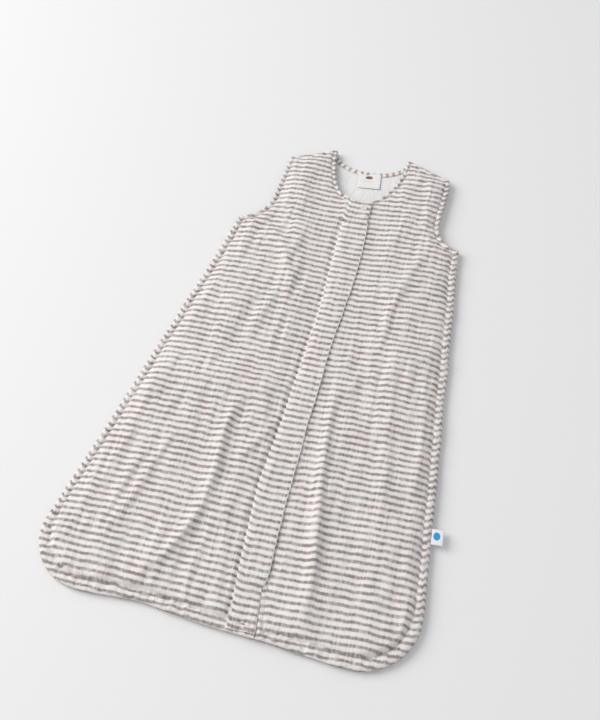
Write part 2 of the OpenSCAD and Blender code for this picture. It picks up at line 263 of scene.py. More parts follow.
def neck_y(x, depth):
    """Height of a neckline of that depth at a half width."""
    return BODY_LEN - depth * np.sqrt(1 - (x / NECK_HALF) ** 2)


def half_edges(depth, hem_from, neck_from):
    """The edges of the +x half in order, from the hem up to the neckline."""
    corner = arc((HEM_HALF - CORNER_R, CORNER_R), (CORNER_R, CORNER_R), -90, math.degrees(SIDE_LEAN))
    armhole = arc((CHEST_HALF, UNDERARM_Y + ARMHOLE_R[1]), ARMHOLE_R, -90, -180)
    tip = (SHOULDER_HALF, shoulder_y(SHOULDER_HALF))
    neck = arc((0, BODY_LEN), (NECK_HALF, depth), 0, -math.degrees(math.acos(neck_from / NECK_HALF)))
    return [
        ("hem", [(hem_from, 0), *corner]),
        ("side", [corner[-1], (CHEST_HALF, UNDERARM_Y)]),
        ("armhole", [*armhole, tip]),
        ("shoulder", [tip, (NECK_HALF, BODY_LEN)]),
        ("neck", neck),
    ]


def seam_x(y):
    """Where the two halves of the front meet below the zip."""
    return np.interp(y, [0, SEAM_TOP], [SEAM_X[1], SEAM_X[0]])


def centre_line(side):
    """The front's edge beside the zip, from the neckline down to the hem."""
    y = np.arange(neck_y(FRONT_EDGE, NECK_FRONT), -2, -STEP)
    at_zip = smooth((y - SEAM_TOP) / (ZIP_BOTTOM - SEAM_TOP))
    return np.column_stack([side * FRONT_EDGE * at_zip + seam_x(y) * (1 - at_zip), y])


# Each kind of edge: height of its outermost line on the front and on the
# back, height of the cloth beside it, width of its roll, distance of its
# topstitch, depth of the stitch's groove, width of the slope up to the body
# of the cloth, how far the edge turns under (over, where negative), how far
# its stripes are out of step, and the lining's height there, front and back.
EDGE_FACTS = ("front", "back", "top", "roll", "stitch", "groove", "slope", "turn", "slip")
EDGE_FACTS += ("inner_front", "inner_back")
EDGES = {
    "hem": (6.0, 5.6, 10.8, 6.5, 14.0, 3.6, 8, -0.3, 0.6, 6.0, 5.6),
    "side": (5.2, 4.8, 10.4, 6.0, 11.0, 2.2, 18, -0.3, 3.4, 5.2, 4.8),
    "armhole": (9.6, 2.4, 12.2, 3.0, 6.8, 2.2, 16, 0.7, 2.6, 8.2, 3.5),
    "shoulder": (6.0, 5.4, 11.6, 6.0, 6.8, 0.8, 20, -0.3, 0, 6.0, 5.4),
    "neck": (9.8, 2.4, 12.6, 2.8, 6.0, 1.8, 18, 0.7, 2.2, 8.4, 3.5),
    "centre": (11.6, 2.4, 12.8, 1.6, 5.0, 0.5, 20, 0.12, 0, 9.3, 3),
}
EDGE_BLUR = 8           # points over which one kind of edge passes into the next


class Cut:
    """A flat cut: its ring of edge points, the rings inside it and how each edge is finished."""

    def __init__(self, edges):
        points, kinds = [], []
        for kind, line in edges:
            new, _, _ = resampled(line, STEP, closed=False)
            points.append(new[:-1])
            kinds += [kind] * (len(new) - 1)
        ring = np.vstack(points)
        area = np.sum(ring[:, 0] * np.roll(ring[:, 1], -1) - np.roll(ring[:, 0], -1) * ring[:, 1]) / 2
        if area < 0:
            ring, kinds = ring[::-1], kinds[::-1]
        kinds = np.array(kinds)
        at_shoulder = np.clip(2 * ring_blur(kinds == "shoulder", 3), 0, 1)[:, None]
        ring = ring * (1 - at_shoulder) + ring_blur(ring, 2) * at_shoulder
        self.ring, self.kinds, self.area = ring, kinds, abs(area)
        self.normal = outward(ring, blur=7)
        step = np.linalg.norm(np.roll(ring, -1, 0) - ring, axis=1)
        self.along = np.concatenate([[0], np.cumsum(step)[:-1]])
        self.finish = {
            what: ring_blur([EDGES[kind][place] for kind in self.kinds], EDGE_BLUR)
            for place, what in enumerate(EDGE_FACTS)
        }

    def inner(self, distance):
        """The ring moved inwards by a distance, its corners rounded the more the further it goes."""
        moved = self.ring - self.normal * distance
        return ring_blur(moved, distance / 3) if distance > 1 else moved

    def size(self):
        """Width and length of the cut, in metres, and its flat area in square metres."""
        width, length = np.ptp(self.ring, axis=0) * MM
        return (float(width), float(length)), float(self.area * MM * MM)


def front_cut(side):
    """The cut of one half of the front."""
    mirror = np.array([side, 1])
    edges = half_edges(NECK_FRONT, side * (seam_x(0) + LAY_SWING), FRONT_EDGE)
    laid = [(kind, lay(resampled(line, STEP, closed=False)[0] * mirror)) for kind, line in edges]
    return Cut([*laid, ("centre", centre_line(side))])


def back_cut():
    """The cut of the back, in one piece."""
    half = [(kind, resampled(line, STEP, closed=False)[0]) for kind, line in half_edges(NECK_BACK, 0, 0)]
    right = [(kind, lay(line)) for kind, line in half]
    left = [(kind, lay(line * [-1, 1])[::-1]) for kind, line in half]
    return Cut([*right, *left[::-1]])


# ---- from a cut to a cloth ----


def lattice(ring, step):
    """Points of a triangle lattice inside a ring, row by row."""
    found = []
    low, high = ring[:, 1].min(), ring[:, 1].max()
    for row, y in enumerate(np.arange(low + step / 2, high, step * math.sqrt(0.75))):
        cuts = crossings(ring, y)
        shift = step / 2 * (row % 2)
        for left, right in zip(cuts[::2], cuts[1::2]):
            x = np.arange(math.ceil((left - shift) / step) * step + shift, right, step)
            found.append(np.column_stack([x, np.full(len(x), y)]))
    return np.vstack(found)


def nearest(points, others):
    """For each point, the index of the nearest of the others and its distance."""
    tree = kdtree.KDTree(len(others))
    for i, p in enumerate(others):
        tree.insert((p[0], p[1], 0), i)
    tree.balance()
    hits = [tree.find((p[0], p[1], 0)) for p in points]
    return np.array([h[1] for h in hits]), np.array([h[2] for h in hits])


def cloth_grid(cut, rings=RING_STEPS):
    """Flat points and faces of a cut: rings along its edges and a lattice inside them.

    Returns the points, each point's distance from the edge, the index of the
    nearest edge point, and the faces. The first rings come in order."""
    count = len(cut.ring)
    last = cut.inner(rings[-1])
    inside = lattice(last, STEP)
    _, gap = nearest(inside, last)
    inside = inside[gap > 0.62 * STEP]
    border = [(i, (i + 1) % count) for i in range(count)]
    both = np.vstack([last, inside])
    made = geometry.delaunay_2d_cdt([Vector(p) for p in both], border, [], 1, 1e-5)
    origin = [sources[0] for sources in made[3]]
    if sorted(origin) != list(range(len(both))):
        raise ValueError("the cut's rings cross")
    first = count * (len(rings) - 1)
    faces = [tuple(first + origin[i] for i in face) for face in made[2]]
    for k in range(len(rings) - 1):
        for i in range(count):
            j = (i + 1) % count
            a, b = k * count, (k + 1) * count
            faces.append((a + i, a + j, b + j, b + i))
    points = np.vstack([*[cut.inner(d) for d in rings], inside])
    index, far = nearest(inside, last)
    distance = np.concatenate([np.repeat(rings, count), rings[-1] + far])
    edge = np.concatenate([np.tile(np.arange(count), len(rings)), index])
    return points, distance, edge, faces


def linked(name, data):
    """An object with that data, in the scene."""
    made = bpy.data.objects.new(name, data)
    bpy.context.scene.collection.objects.link(made)
    return made


def square(name, half, z):
    """A level square of that half size, round the frame's origin and in metres."""
    mesh = bpy.data.meshes.new(name)
    corners = [(-half, -half, z), (half, -half, z), (half, half, z), (-half, half, z)]
    mesh.from_pydata(corners, [], [(0, 1, 2, 3)])
    return linked(name, mesh)


def add_mesh(name, points, faces, flat=None, material=None):
    """A smooth piece from points in millimetres. flat is each point's place on the woven cloth."""
    mesh = bpy.data.meshes.new(name)
    mesh.from_pydata(placed(points).tolist(), [], [tuple(int(i) for i in f) for f in faces])
    mesh.polygons.foreach_set("use_smooth", [True] * len(mesh.polygons))
    if flat is not None:
        corners = np.zeros(len(mesh.loops), int)
        mesh.loops.foreach_get("vertex_index", corners)
        layer = mesh.uv_layers.new(name="cloth")
        layer.data.foreach_set("uv", (np.asarray(flat)[corners] * MM).ravel())
    mesh.update()
    if material is not None:
        mesh.materials.append(material)
    return linked(name, mesh)


# ---- shape of the cloth as it lies ----

FOLD_SLOPE = FOLD_HALF / (neck_y(FOLD_HALF, NECK_FRONT) - FOLD_APEX)

Fold = namedtuple("Fold", "height width path")

# Soft folds that stand out on the front: the height and half width of each, and points along it.
RIDGES = [
    Fold(7.3, 8.8, [(27, 420), (31, 330), (38, 257), (48, 182), (62, 90), (64, 10)]),
    Fold(5.5, 7.9, [(-84, 330), (-92, 250), (-88, 190), (-94, 130), (-118, 70), (-150, 33)]),
    Fold(2.3, 6.2, [(-23, 290), (-45, 245), (-70, 205)]),
    Fold(3.4, 7.0, [(-150, 250), (-168, 190), (-178, 140), (-196, 95)]),
    Fold(2.9, 6.2, [(-178, 220), (-192, 170), (-203, 120), (-214, 70)]),
    Fold(2.1, 5.3, [(-205, 240), (-220, 185), (-234, 120)]),
    Fold(2.9, 8.8, [(-128, 590), (-96, 560), (-66, 500), (-60, 430)]),
    Fold(2.3, 8.8, [(-60, 640), (-72, 560), (-84, 470), (-100, 380)]),
    Fold(3.1, 8.8, [(118, 590), (96, 545), (80, 470), (78, 390)]),
    Fold(2.1, 7.0, [(60, 610), (52, 540), (50, 470)]),
    Fold(2.9, 10.6, [(100, 420), (108, 320), (122, 220), (128, 120)]),
    Fold(2.1, 7.9, [(150, 380), (158, 280), (160, 190)]),
]


def fold_gap(x, y, side):
    """Distance outwards from one fold line of the open front; negative beside the zip."""
    return (side * x - FOLD_SLOPE * (y - FOLD_APEX)) / math.hypot(1, FOLD_SLOPE)


def path_distance(x, y, path):
    """Distance from a line of points, and how far along it the nearest place is, from 0 to 1."""
    best, share = np.full(np.shape(x), 1e9), np.zeros(np.shape(x))
    path = np.asarray(path, float)
    lengths = np.linalg.norm(np.diff(path, axis=0), axis=1)
    before = np.concatenate([[0], np.cumsum(lengths)])
    for a, b, start in zip(path[:-1], path[1:], before):
        d = b - a
        t = np.clip(((x - a[0]) * d[0] + (y - a[1]) * d[1]) / (d @ d), 0, 1)
        far = np.hypot(x - a[0] - t * d[0], y - a[1] - t * d[1])
        closer = far < best
        best = np.where(closer, far, best)
        share = np.where(closer, (start + t * np.hypot(*d)) / before[-1], share)
    return best, share


STEEP_SIDE = 0.55       # width of a fold's steeper right side against its left side
FOLD_SHARE = 0.5        # share of the named folds added to the settled cloth


def ridge_x(ridge, y):
    """Where a named fold is at a height."""
    path = np.asarray(ridge.path, float)[::-1]
    return np.interp(y, path[:, 1], path[:, 0])


def ridges(x, y):
    """Height of the named folds at a place."""
    total = 0
    for ridge in RIDGES:
        far, share = path_distance(x, y, ridge.path)
        ends = smooth(share / 0.25) * smooth((1 - share) / 0.25)
        width = ridge.width * np.where(x > ridge_x(ridge, y), STEEP_SIDE, 1)
        total = total + ridge.height * ends * hump(far, width)
    return total


def grain(x, y):
    """The place in coordinates that follow the length of the skirt, for creases that run along it."""
    swung = x + LAY_SWING * swing_share(y)
    width = np.interp(y, [0, UNDERARM_Y, BODY_LEN], [HEM_HALF, CHEST_HALF, CHEST_HALF])
    return swung * CHEST_HALF / width, y


def crinkle(x, y, seed=1):
    """Small lengthwise creases of muslin, in millimetres."""
    u, v = grain(x, y)
    wide = noise(u, v, (15, 90), seed)
    bent = u + 2.5 * noise(u, v, (26, 34), seed + 1)
    narrow = noise(bent, v, (6.5, 34), seed + 2)
    fine = noise(bent, v, (4.4, 30), seed + 3)
    strong = 0.7 + 0.5 * noise(u, v, (50, 80), seed + 4)
    return 1.0 * wide + strong * (1.35 * (0.45 - np.abs(narrow)) + 0.6 * fine)


TUCK_PITCH = 9          # spacing of the small tucks along the placket's seam
TUCK_DEPTH = 2.6


def seam_drawn(y, past):
    """Height of the small folds and tucks that the placket's seam draws up to both its sides."""
    sharp = wobble(y + 0.8 * past, 4.5, 53) + 0.5 * noise(y, past, (2.4, 9), 61)
    place = (y + 0.9 * np.abs(past) + 0.9 * wobble(y, 12, 62) - 2.5) / TUCK_PITCH
    across = (place - np.round(place)) * TUCK_PITCH
    return 1.2 * sharp * hump(past, 7) - TUCK_DEPTH * hump(across, 1.6) * hump(past, 4)


# ---- settling the front's cloth by simulation ----

SIM_STEP = 5            # spacing of the simulated cloth's points
SIM_SCALE = 10          # the cloth is simulated this many times its size
SIM_FRAMES = 40
SIM_WIDE = (-290, 211)  # the simulated cloth's first and last x, and its first and last y
SIM_TALL = (-10, 751)
SIM_TABLE = 10          # half size of what it lies on, and the gap kept to that, in metres
SIM_GAP = 0.002
SIM_UNDER = -1.2        # height of what the cloth lies on
SLACK = (1.036, 1.006)  # the cloth's own width and length against the space it lies in
PIN_BAND = 7            # cloth this near the seams and the zip is held
RISE_MAX = 6.5          # greatest height kept from the simulation
LEVEL_LEFT = 13.4       # height of the front's cloth where no fold lifts it, left and right of the zip
LEVEL_RIGHT = 12.9
FOLD_ROOM = 34          # distance past the fold lines over which the folds reach their full height
SEAM_SINK = 2.6         # depth of the groove along the placket's seam


def gathered(x, y):
    """Extra width of cloth, in millimetres, that has gathered into the named folds left of a place."""
    total = 0
    for ridge in RIDGES:
        top, bottom = ridge.path[0][1], ridge.path[-1][1]
        ends = smooth((y - bottom) / 40) * smooth((top - y) / 40)
        total = total + 0.55 * ridge.height * ends * np.tanh((x - ridge_x(ridge, y)) / ridge.width)
    return total


def reach_at(levels):
    """The bag's leftmost and rightmost x at each height."""
    ring = back_cut().ring
    found = [crossings(ring, level) for level in levels]
    return np.array([(cuts[0], cuts[-1]) if len(cuts) else (0, 0) for cuts in found])


def cloth_settings(piece):
    """Gives the piece Blender's cloth, as soft as muslin at the simulation's scale."""
    cloth = piece.modifiers.new("cloth", "CLOTH")
    cloth.point_cache.frame_end = SIM_FRAMES
    settings = cloth.settings
    settings.rest_shape_key = piece.data.shape_keys.key_blocks["cut"]
    settings.vertex_group_mass = "held"
    settings.quality = 6
    settings.mass = 0.1
    settings.air_damping = 2
    settings.tension_stiffness = settings.compression_stiffness = 30
    settings.shear_stiffness = 8
    settings.bending_stiffness = 40
    settings.effector_weights.gravity = 0.4
    cloth.collision_settings.distance_min = SIM_GAP
    cloth.collision_settings.use_self_collision = False


def settled():
    """Heights of the simulated cloth over a grid, in millimetres, with the grid's x and y values."""
    xs, ys = np.arange(*SIM_WIDE, SIM_STEP), np.arange(*SIM_TALL, SIM_STEP)
    x, y = np.meshgrid(xs, ys, indexing="ij")
    reach = reach_at(ys)
    inside = (x > reach[:, 0] + PIN_BAND) & (x < reach[:, 1] - PIN_BAND)
    half = np.clip(np.abs(x), 0, NECK_HALF)
    inside &= (np.abs(x) > NECK_HALF) | (y < neck_y(half, NECK_FRONT) - PIN_BAND)
    number = np.full(inside.shape, -1)
    number[inside] = np.arange(inside.sum())
    corners = np.stack([number[:-1, :-1], number[1:, :-1], number[1:, 1:], number[:-1, 1:]], -1)
    faces = corners[(corners >= 0).all(-1)]
    x, y = x[inside], y[inside]
    zip_line = np.where(y < SEAM_TOP, seam_x(y), 0)
    held = (np.bincount(faces.ravel(), minlength=len(x)) < 4) | (np.abs(x - zip_line) < PIN_BAND)
    start = np.where(held, 0, 0.45 * ridges(x, y) + 0.5 * crinkle(x, y) + 0.6)
    scale = SIM_SCALE * MM
    mesh = bpy.data.meshes.new("settling")
    mesh.from_pydata((np.column_stack([x, y, start]) * scale).tolist(), [], faces.tolist())
    piece = linked("settling", mesh)
    piece.vertex_groups.new(name="held").add(np.flatnonzero(held).tolist(), 1, "REPLACE")
    piece.shape_key_add(name="lying")
    own = np.column_stack([x * SLACK[0] + gathered(x, y), y * SLACK[1], 0 * x]) * scale
    piece.shape_key_add(name="cut").data.foreach_set("co", own.ravel())
    cloth_settings(piece)
    table = square("under", SIM_TABLE, SIM_UNDER * scale)
    table.modifiers.new("under", "COLLISION")
    table.collision.thickness_outer = SIM_GAP
    for step in range(1, SIM_FRAMES + 1):
        bpy.context.scene.frame_set(step)
    result = piece.evaluated_get(bpy.context.evaluated_depsgraph_get()).to_mesh()
    lying = np.zeros(len(x) * 3)
    result.vertices.foreach_get("co", lying)
    bpy.context.scene.frame_set(1)
    bpy.data.objects.remove(piece)
    bpy.data.objects.remove(table)
    heights = np.zeros(inside.shape)
    heights[inside] = np.clip(lying[2::3] / scale, SIM_UNDER, RISE_MAX)
    return xs, ys, heights


settling = settled()


def settled_height(x, y):
    """Height of the settled cloth at a place."""
    if settling is None:
        return ridges(x, y)
    xs, ys, heights = settling
    return spline_at(heights, (x - xs[0]) / SIM_STEP, (y - ys[0]) / SIM_STEP)


def body_height(x, y):
    """Height of the front's cloth away from its edges."""
    side = np.where(x < 0, -1, 1)
    room = smooth(fold_gap(x, y, side) / FOLD_ROOM)
    level = np.where(x < 0, LEVEL_LEFT, LEVEL_RIGHT)
    lying = 1.4 + 1.25 * settled_height(x, y) + FOLD_SHARE * ridges(x, y)
    height = level + room * lying + (0.3 + 0.7 * room) * crinkle(x, y)
    past = x - curve_at(y, PLACKET_SEAM)
    sewn = smooth((y - 6) / 8)
    covered = sewn * smooth(past / 3.5) * (x < seam_x(0))
    height = height + sewn * (seam_drawn(y, past) - SEAM_SINK * hump(past, 2.0))
    return np.where(
        x < seam_x(0), height * (1 - covered) + np.minimum(height, LEVEL_RIGHT) * covered, height
    )


def pucker(cut, distance, edge):
    """Small waves that the topstitch draws up beside an edge."""
    stitch = cut.finish["stitch"][edge]
    along = cut.along[edge]
    wave = noise(along, distance, (2.9, 9), 7) + 0.7 * noise(along, distance, (6, 12), 8)
    return wave * np.minimum(hump(distance - stitch, 5) + 0.9 * (distance < stitch), 1)


def front_height(cut, points, distance, edge):
    """Height of a front half's outer cloth at its grid points."""
    x, y = points.T
    facts = ("front", "top", "roll", "stitch", "groove", "slope")
    rim, top, roll, stitch, groove, slope = (cut.finish[what][edge] for what in facts)
    beside = rim + (top - rim) * round_rise(distance, roll)
    inward = smooth((distance - 0.9 * stitch) / slope)
    height = beside * (1 - inward) + body_height(x, y) * inward
    drawn = 1 + 0.35 * noise(cut.along[edge], distance, (5, 30), 9)
    height -= groove * drawn * hump(distance - stitch, 1.6)
    return height + pucker(cut, distance, edge) * smooth(distance / 3)


def back_height(cut, points, distance, edge):
    """Height of the back's outer cloth, which lies on the floor."""
    x, y = points.T
    roll, rim, stitch = (cut.finish[what][edge] for what in ("roll", "back", "stitch"))
    floor = 0.5 + 0.5 * np.clip(0.6 + crinkle(x, y, seed=31), 0, 3) * smooth(distance / 12)
    return rim + (floor - rim) * round_rise(distance, roll) + hump(distance - stitch, 1.5)


STRIPE_PITCH = 9.0
STRIPE_START = 4.0      # brings the stripes to where they lie on the real bag
STRIPE_BOW = 0.016      # how far they bow up to both sides, per mm


def stripe_map(x, y):
    """Where places lie on the woven stripes: they bow up a little to both sides and waver."""
    u, v = grain(x, y)
    waver = 1.3 * noise(x, y, (70, 55), 21) + 0.5 * noise(u, v, (14, 45), 22)
    waver = waver + 0.45 * noise(u, v, (5, 26), 23)
    return np.stack([x, y - STRIPE_START - STRIPE_BOW * np.abs(x) + waver], -1)


def woven(cut, flat, distance, edge):
    """The striped cloth's pattern: out of step and jostled where a topstitch has drawn it up."""
    pattern = stripe_map(*flat.T)
    stitch = cut.finish["stitch"][edge]
    band = smooth((stitch + 1 - distance) / 2.4)
    rows = band - smooth((0.5 * stitch - distance) / 2.2)
    near = np.maximum(hump(distance - stitch, 3), 0.8 * band)
    jostled = noise(cut.along[edge], distance, (3.6, 4), 95)
    pattern[:, 1] += cut.finish["slip"][edge] * rows + 1.1 * near * jostled
    return pattern


def unwoven(cut, flat, distance, edge):
    """The plain cloth's pattern: the flat cloth itself."""
    return flat


def build_cloth(name, cut, height, turned, material, pattern, rings=RING_STEPS):
    """A cloth piece: its grid at its height, with its edges turned over.

    turned is a list of (distance in from the edge, height against it) for
    the rings that go over the edge, outermost first, for an open edge."""
    points, distance, edge, faces = cloth_grid(cut, rings)
    count = len(cut.ring)
    z = height(cut, points, distance, edge)
    solid = np.column_stack([points, z])
    turn = cut.finish["turn"]
    under = [np.column_stack([cut.inner(inward), z[:count] + rise * turn]) for inward, rise in turned]
    first = len(solid)
    solid = np.vstack([solid, *under])
    order = [np.arange(first + k * count, first + (k + 1) * count) for k in range(len(under))]
    chain = [*order[::-1], *[np.arange(k * count, (k + 1) * count) for k in range(len(rings))]]
    for outer, inner in zip(chain[: len(order)], chain[1:]):
        for i in range(count):
            j = (i + 1) % count
            faces.append((outer[i], outer[j], inner[j], inner[i]))
    flat = np.vstack([points, *[cut.ring for _ in under]])
    reach = np.zeros(count)
    for outer, inner in zip(chain[-2::-1], chain[:0:-1]):
        reach += np.linalg.norm(solid[outer] - solid[inner], axis=1)
        flat[outer] = flat[chain[-1]] + cut.normal * reach[:, None]
    distance = np.concatenate([distance, *[np.full(count, -float(inward)) for inward, _ in turned]])
    edge = np.concatenate([edge, *[np.arange(count) for _ in turned]])
    return add_mesh(name, solid, faces, pattern(cut, flat, distance, edge), material)


def lining_height(face, seed):
    """A height function for the front's or the back's lining, which stays inside the outer cloth."""

    def height(cut, points, distance, edge):
        x, y = points.T
        inward = smooth((distance - LINING_RINGS[0]) / 26)
        wave = 0.5 * np.clip(crinkle(x, y, seed), -1.2, 1.4)
        lying = cut.finish[f"inner_{face}"][edge] * (1 - inward) + LINING_Z[face] * inward + wave * inward
        if face == "front":
            stitch, groove = cut.finish["stitch"][edge], cut.finish["groove"][edge]
            lying = lying - 0.7 * groove * hump(distance - stitch, 4.5)
            return np.minimum(lying, front_height(cut, points, distance, edge) - LINING_GAP)
        return np.maximum(lying, back_height(cut, points, distance, edge) + LINING_GAP)

    return height


def slab(name, middle, half, flat, material, under=None, shown=0):
    """A thin closed piece round a grid of points (rows x columns x 3): half its thickness to each side.

    under is the material of its lower face and edges, where it has its own,
    and shown is how many columns along the upper face's last edge also take it:
    a painted highlight on the folded edge."""
    rows, columns = middle.shape[:2]
    row = np.minimum(np.arange(rows), np.arange(rows)[::-1])[:, None]
    column = np.minimum(np.arange(columns), np.arange(columns)[::-1])[None, :]
    swell = np.interp(np.minimum(row, column), [0, 1, 2], [0.3, 0.85, 1])
    along, across = np.gradient(middle, axis=0), np.gradient(middle, axis=1)
    normal = np.cross(across, along)
    normal /= np.linalg.norm(normal, axis=2)[..., None] + 1e-12
    offset = normal * (half * swell)[..., None]
    points = np.concatenate([(middle + offset).reshape(-1, 3), (middle - offset).reshape(-1, 3)])
    index = np.arange(rows * columns).reshape(rows, columns)
    quads = np.stack([index[:-1, :-1], index[:-1, 1:], index[1:, 1:], index[1:, :-1]], -1).reshape(-1, 4)
    rim = [*index[0], *index[1:, -1], *index[-1, -2::-1], *index[-2:0:-1, 0]]
    below = rows * columns
    sides = [(b, a, a + below, b + below) for a, b in zip(rim, [*rim[1:], rim[0]])]
    faces = [*quads.tolist(), *(quads[:, ::-1] + below).tolist(), *sides]
    flat = flat.reshape(-1, 2)
    piece = add_mesh(name, points, faces, np.vstack([flat, flat]), material)
    if under is not None:
        piece.data.materials.append(under)
        lower = np.arange(len(faces)) >= len(quads)
        # The last columns of the upper face take the pale under material: a painted highlight on the folded
        # edge.
        painted_highlight_faces = np.tile(np.arange(columns - 1) >= columns - 1 - shown, rows - 1)
        lower[: len(quads)] = painted_highlight_faces
        piece.data.polygons.foreach_set("material_index", lower)
    return piece


def side_strip(name, side, reach, y, z, half, material):
    """A narrow strip beside the zip: reach is how far each of its points lies from the middle."""
    x = side * reach
    return slab(name, np.stack([x, y, z], -1), half, np.stack([x, y], -1), material)


def tube_faces(first, count, rings, closed=False):
    """Faces through rings of count points, numbered on from first, with flat ends or closed to a loop."""
    faces = []
    for k in range(rings if closed else rings - 1):
        a, b = first + k * count, first + (k + 1) % rings * count
        faces += [(a + i, a + (i + 1) % count, b + (i + 1) % count, b + i) for i in range(count)]
    if not closed:
        faces.append(tuple(range(first, first + count))[::-1])
        faces.append(tuple(range(first + (rings - 1) * count, first + rings * count)))
    return faces


def loft(name, rings, material, closed=False):
    """A solid through rings of points, all with as many points. Closed, the last ring joins the first."""
    faces = tube_faces(0, len(rings[0]), len(rings), closed)
    return add_mesh(name, np.vstack(rings), faces, None, material)


def outline(centre, half, z, corner=3, count=40):
    """A ring with rounded corners: the higher the corner number, the squarer."""
    a = np.arange(count) * 2 * math.pi / count
    c, s = np.cos(a), np.sin(a)
    x = centre[0] + half[0] * np.sign(c) * np.abs(c) ** (2 / corner)
    y = centre[1] + half[1] * np.sign(s) * np.abs(s) ** (2 / corner)
    return np.column_stack([x, y, np.full(count, z)])


def pebble(name, low, high, material, corner=5, bevel=0.3):
    """A block between two corners with rounded sides and edges."""
    centre, half = (low + high) / 2, (high - low) / 2
    steps = [(bevel, 0), (0.3 * bevel, 0.3 * bevel), (0, bevel)]
    levels = [(inset, low[2] + rise) for inset, rise in steps]
    levels += [(inset, high[2] - rise) for inset, rise in steps[::-1]]
    return loft(name, [outline(centre, half[:2] - inset, z, corner) for inset, z in levels], material)


def turned(name, profile, material, count=48):
    """A round part of the snap: its profile, as (radius, z) from the bottom's middle to the top's."""
    rings = [outline(SNAP_AT, (max(r, 0.02), max(r, 0.02)), z, 2, count) for r, z in profile]
    return loft(name, rings, material)


def joined(name, pieces):
    """One piece made of several."""
    with bpy.context.temp_override(active_object=pieces[0], selected_editable_objects=pieces):
        bpy.ops.object.join()
    pieces[0].name = name
    return pieces[0]


def cad_box(node):
    """A CAD node's lowest and highest corners, in millimetres on the bag."""
    low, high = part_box(node)
    origin = np.array([zip_x, hem_y, 0])
    return (np.array(low) - origin) / MM, (np.array(high) - origin) / MM


STITCH = 2.5            # length of a stitch, with a gap after it
STITCH_GAP = 0.9
THREAD_R = 0.24
# A stitch's cross-sections: share of its length, height over the cloth and thickness.
STITCH_SHAPE = [(0, -0.26, 0.35), (0.16, 0.05, 0.9), (0.5, 0.14, 1), (0.84, 0.05, 0.9), (1, -0.26, 0.35)]
STRIP_T = 0.44          # thickness of the strips inside the edges


def stitches(name, lines, material):
    """Stitches along lines of points, each with rounded ends that dip into the cloth."""
    points, faces = [], []
    turn = np.arange(6) * math.pi / 3
    for line in lines:
        fine, _, length = resampled(line, 0.4, closed=False)
        at = np.linspace(0, length, len(fine))
        for start in np.arange(0, length - STITCH, STITCH + STITCH_GAP):
            ring_faces = tube_faces(len(points), len(turn), len(STITCH_SHAPE))
            faces += [face[::-1] for face in ring_faces]
            for share, rise, thick in STITCH_SHAPE:
                s = start + share * STITCH
                here, ahead = (
                    np.array([np.interp(place, at, fine[:, k]) for k in range(3)]) for place in (s, s + 0.5)
                )
                side = np.array([here[1] - ahead[1], ahead[0] - here[0], 0])
                side /= np.linalg.norm(side) + 1e-9
                for a in turn:
                    round_it = side * math.cos(a) + np.array([0, 0, math.sin(a)])
                    points.append(here + [0, 0, rise] + THREAD_R * thick * round_it)
    return add_mesh(name, points, faces, None, material)


def edge_runs(cut, kinds):
    """Index runs of the ring's points on edges of the given kinds."""
    wanted = np.isin(cut.kinds, kinds)
    starts = np.flatnonzero(wanted & ~np.roll(wanted, 1))
    count = len(wanted)
    runs = []
    for start in starts:
        length = 0
        while length < count and wanted[(start + length) % count]:
            length += 1
        runs.append((start + np.arange(length)) % count)
    return runs


def seam_lines(cut, height, kinds):
    """Lines of the topstitch along a cut's edges, on the cloth's surface."""
    count = len(cut.ring)
    distance = cut.finish["stitch"]
    line = ring_blur(cut.ring - cut.normal * distance[:, None], 2)
    z = height(cut, line, distance, np.arange(count))
    above = 0.1 + 0.16 * cut.finish["groove"] if height is front_height else -0.35
    solid = np.column_stack([line, ring_blur(z, 1) + above])
    return [solid[run] for run in edge_runs(cut, kinds)]


def edge_strip(name, cut, run, section, material):
    """A narrow strip along part of a cut's edge. section is a list of (distance in, height along the run)."""
    along = cut.along[run]
    rows = []
    for inward, level in section:
        wave = 0.16 * noise(along, inward + 0 * along, (4, 9), 17)
        rows.append(np.column_stack([cut.inner(inward)[run], level + wave]))
    across = np.array([inward for inward, _ in section])
    flat = np.stack(np.broadcast_arrays(across[:, None], along[None, :]), -1)
    return slab(name, np.stack(rows), STRIP_T / 2, flat, material)


# ---- placket and tab ----

PLACKET_T = 1.5         # thickness of the doubled placket
PLACKET_Z = 15.1        # middle of the placket over the zip
PLACKET_CLIMB = 13      # width over which it climbs to that from its seam
PLACKET_SUNK = 3.4      # how far its edge is sunk into the seam
PLACKET_SWAY = 1.9      # how far the placket's free edge wanders from a straight line
PLACKET_SHIFT = 5.0     # how far the placket's stripes are out of step with the front's
TAB_LEFT = -25          # the tab's left edge
TAB_CUT = 44            # width of the tab's cut
TAB_ROW = 624           # the row of stitches across the tab
left_cut = front_cut(-1)


def left_surface(x, y):
    """Height of the left front's cloth at any place."""
    flat = np.column_stack([np.ravel(x), np.ravel(y)])
    edge, distance = nearest(flat, left_cut.ring)
    return front_height(left_cut, flat, distance, edge).reshape(np.shape(x))


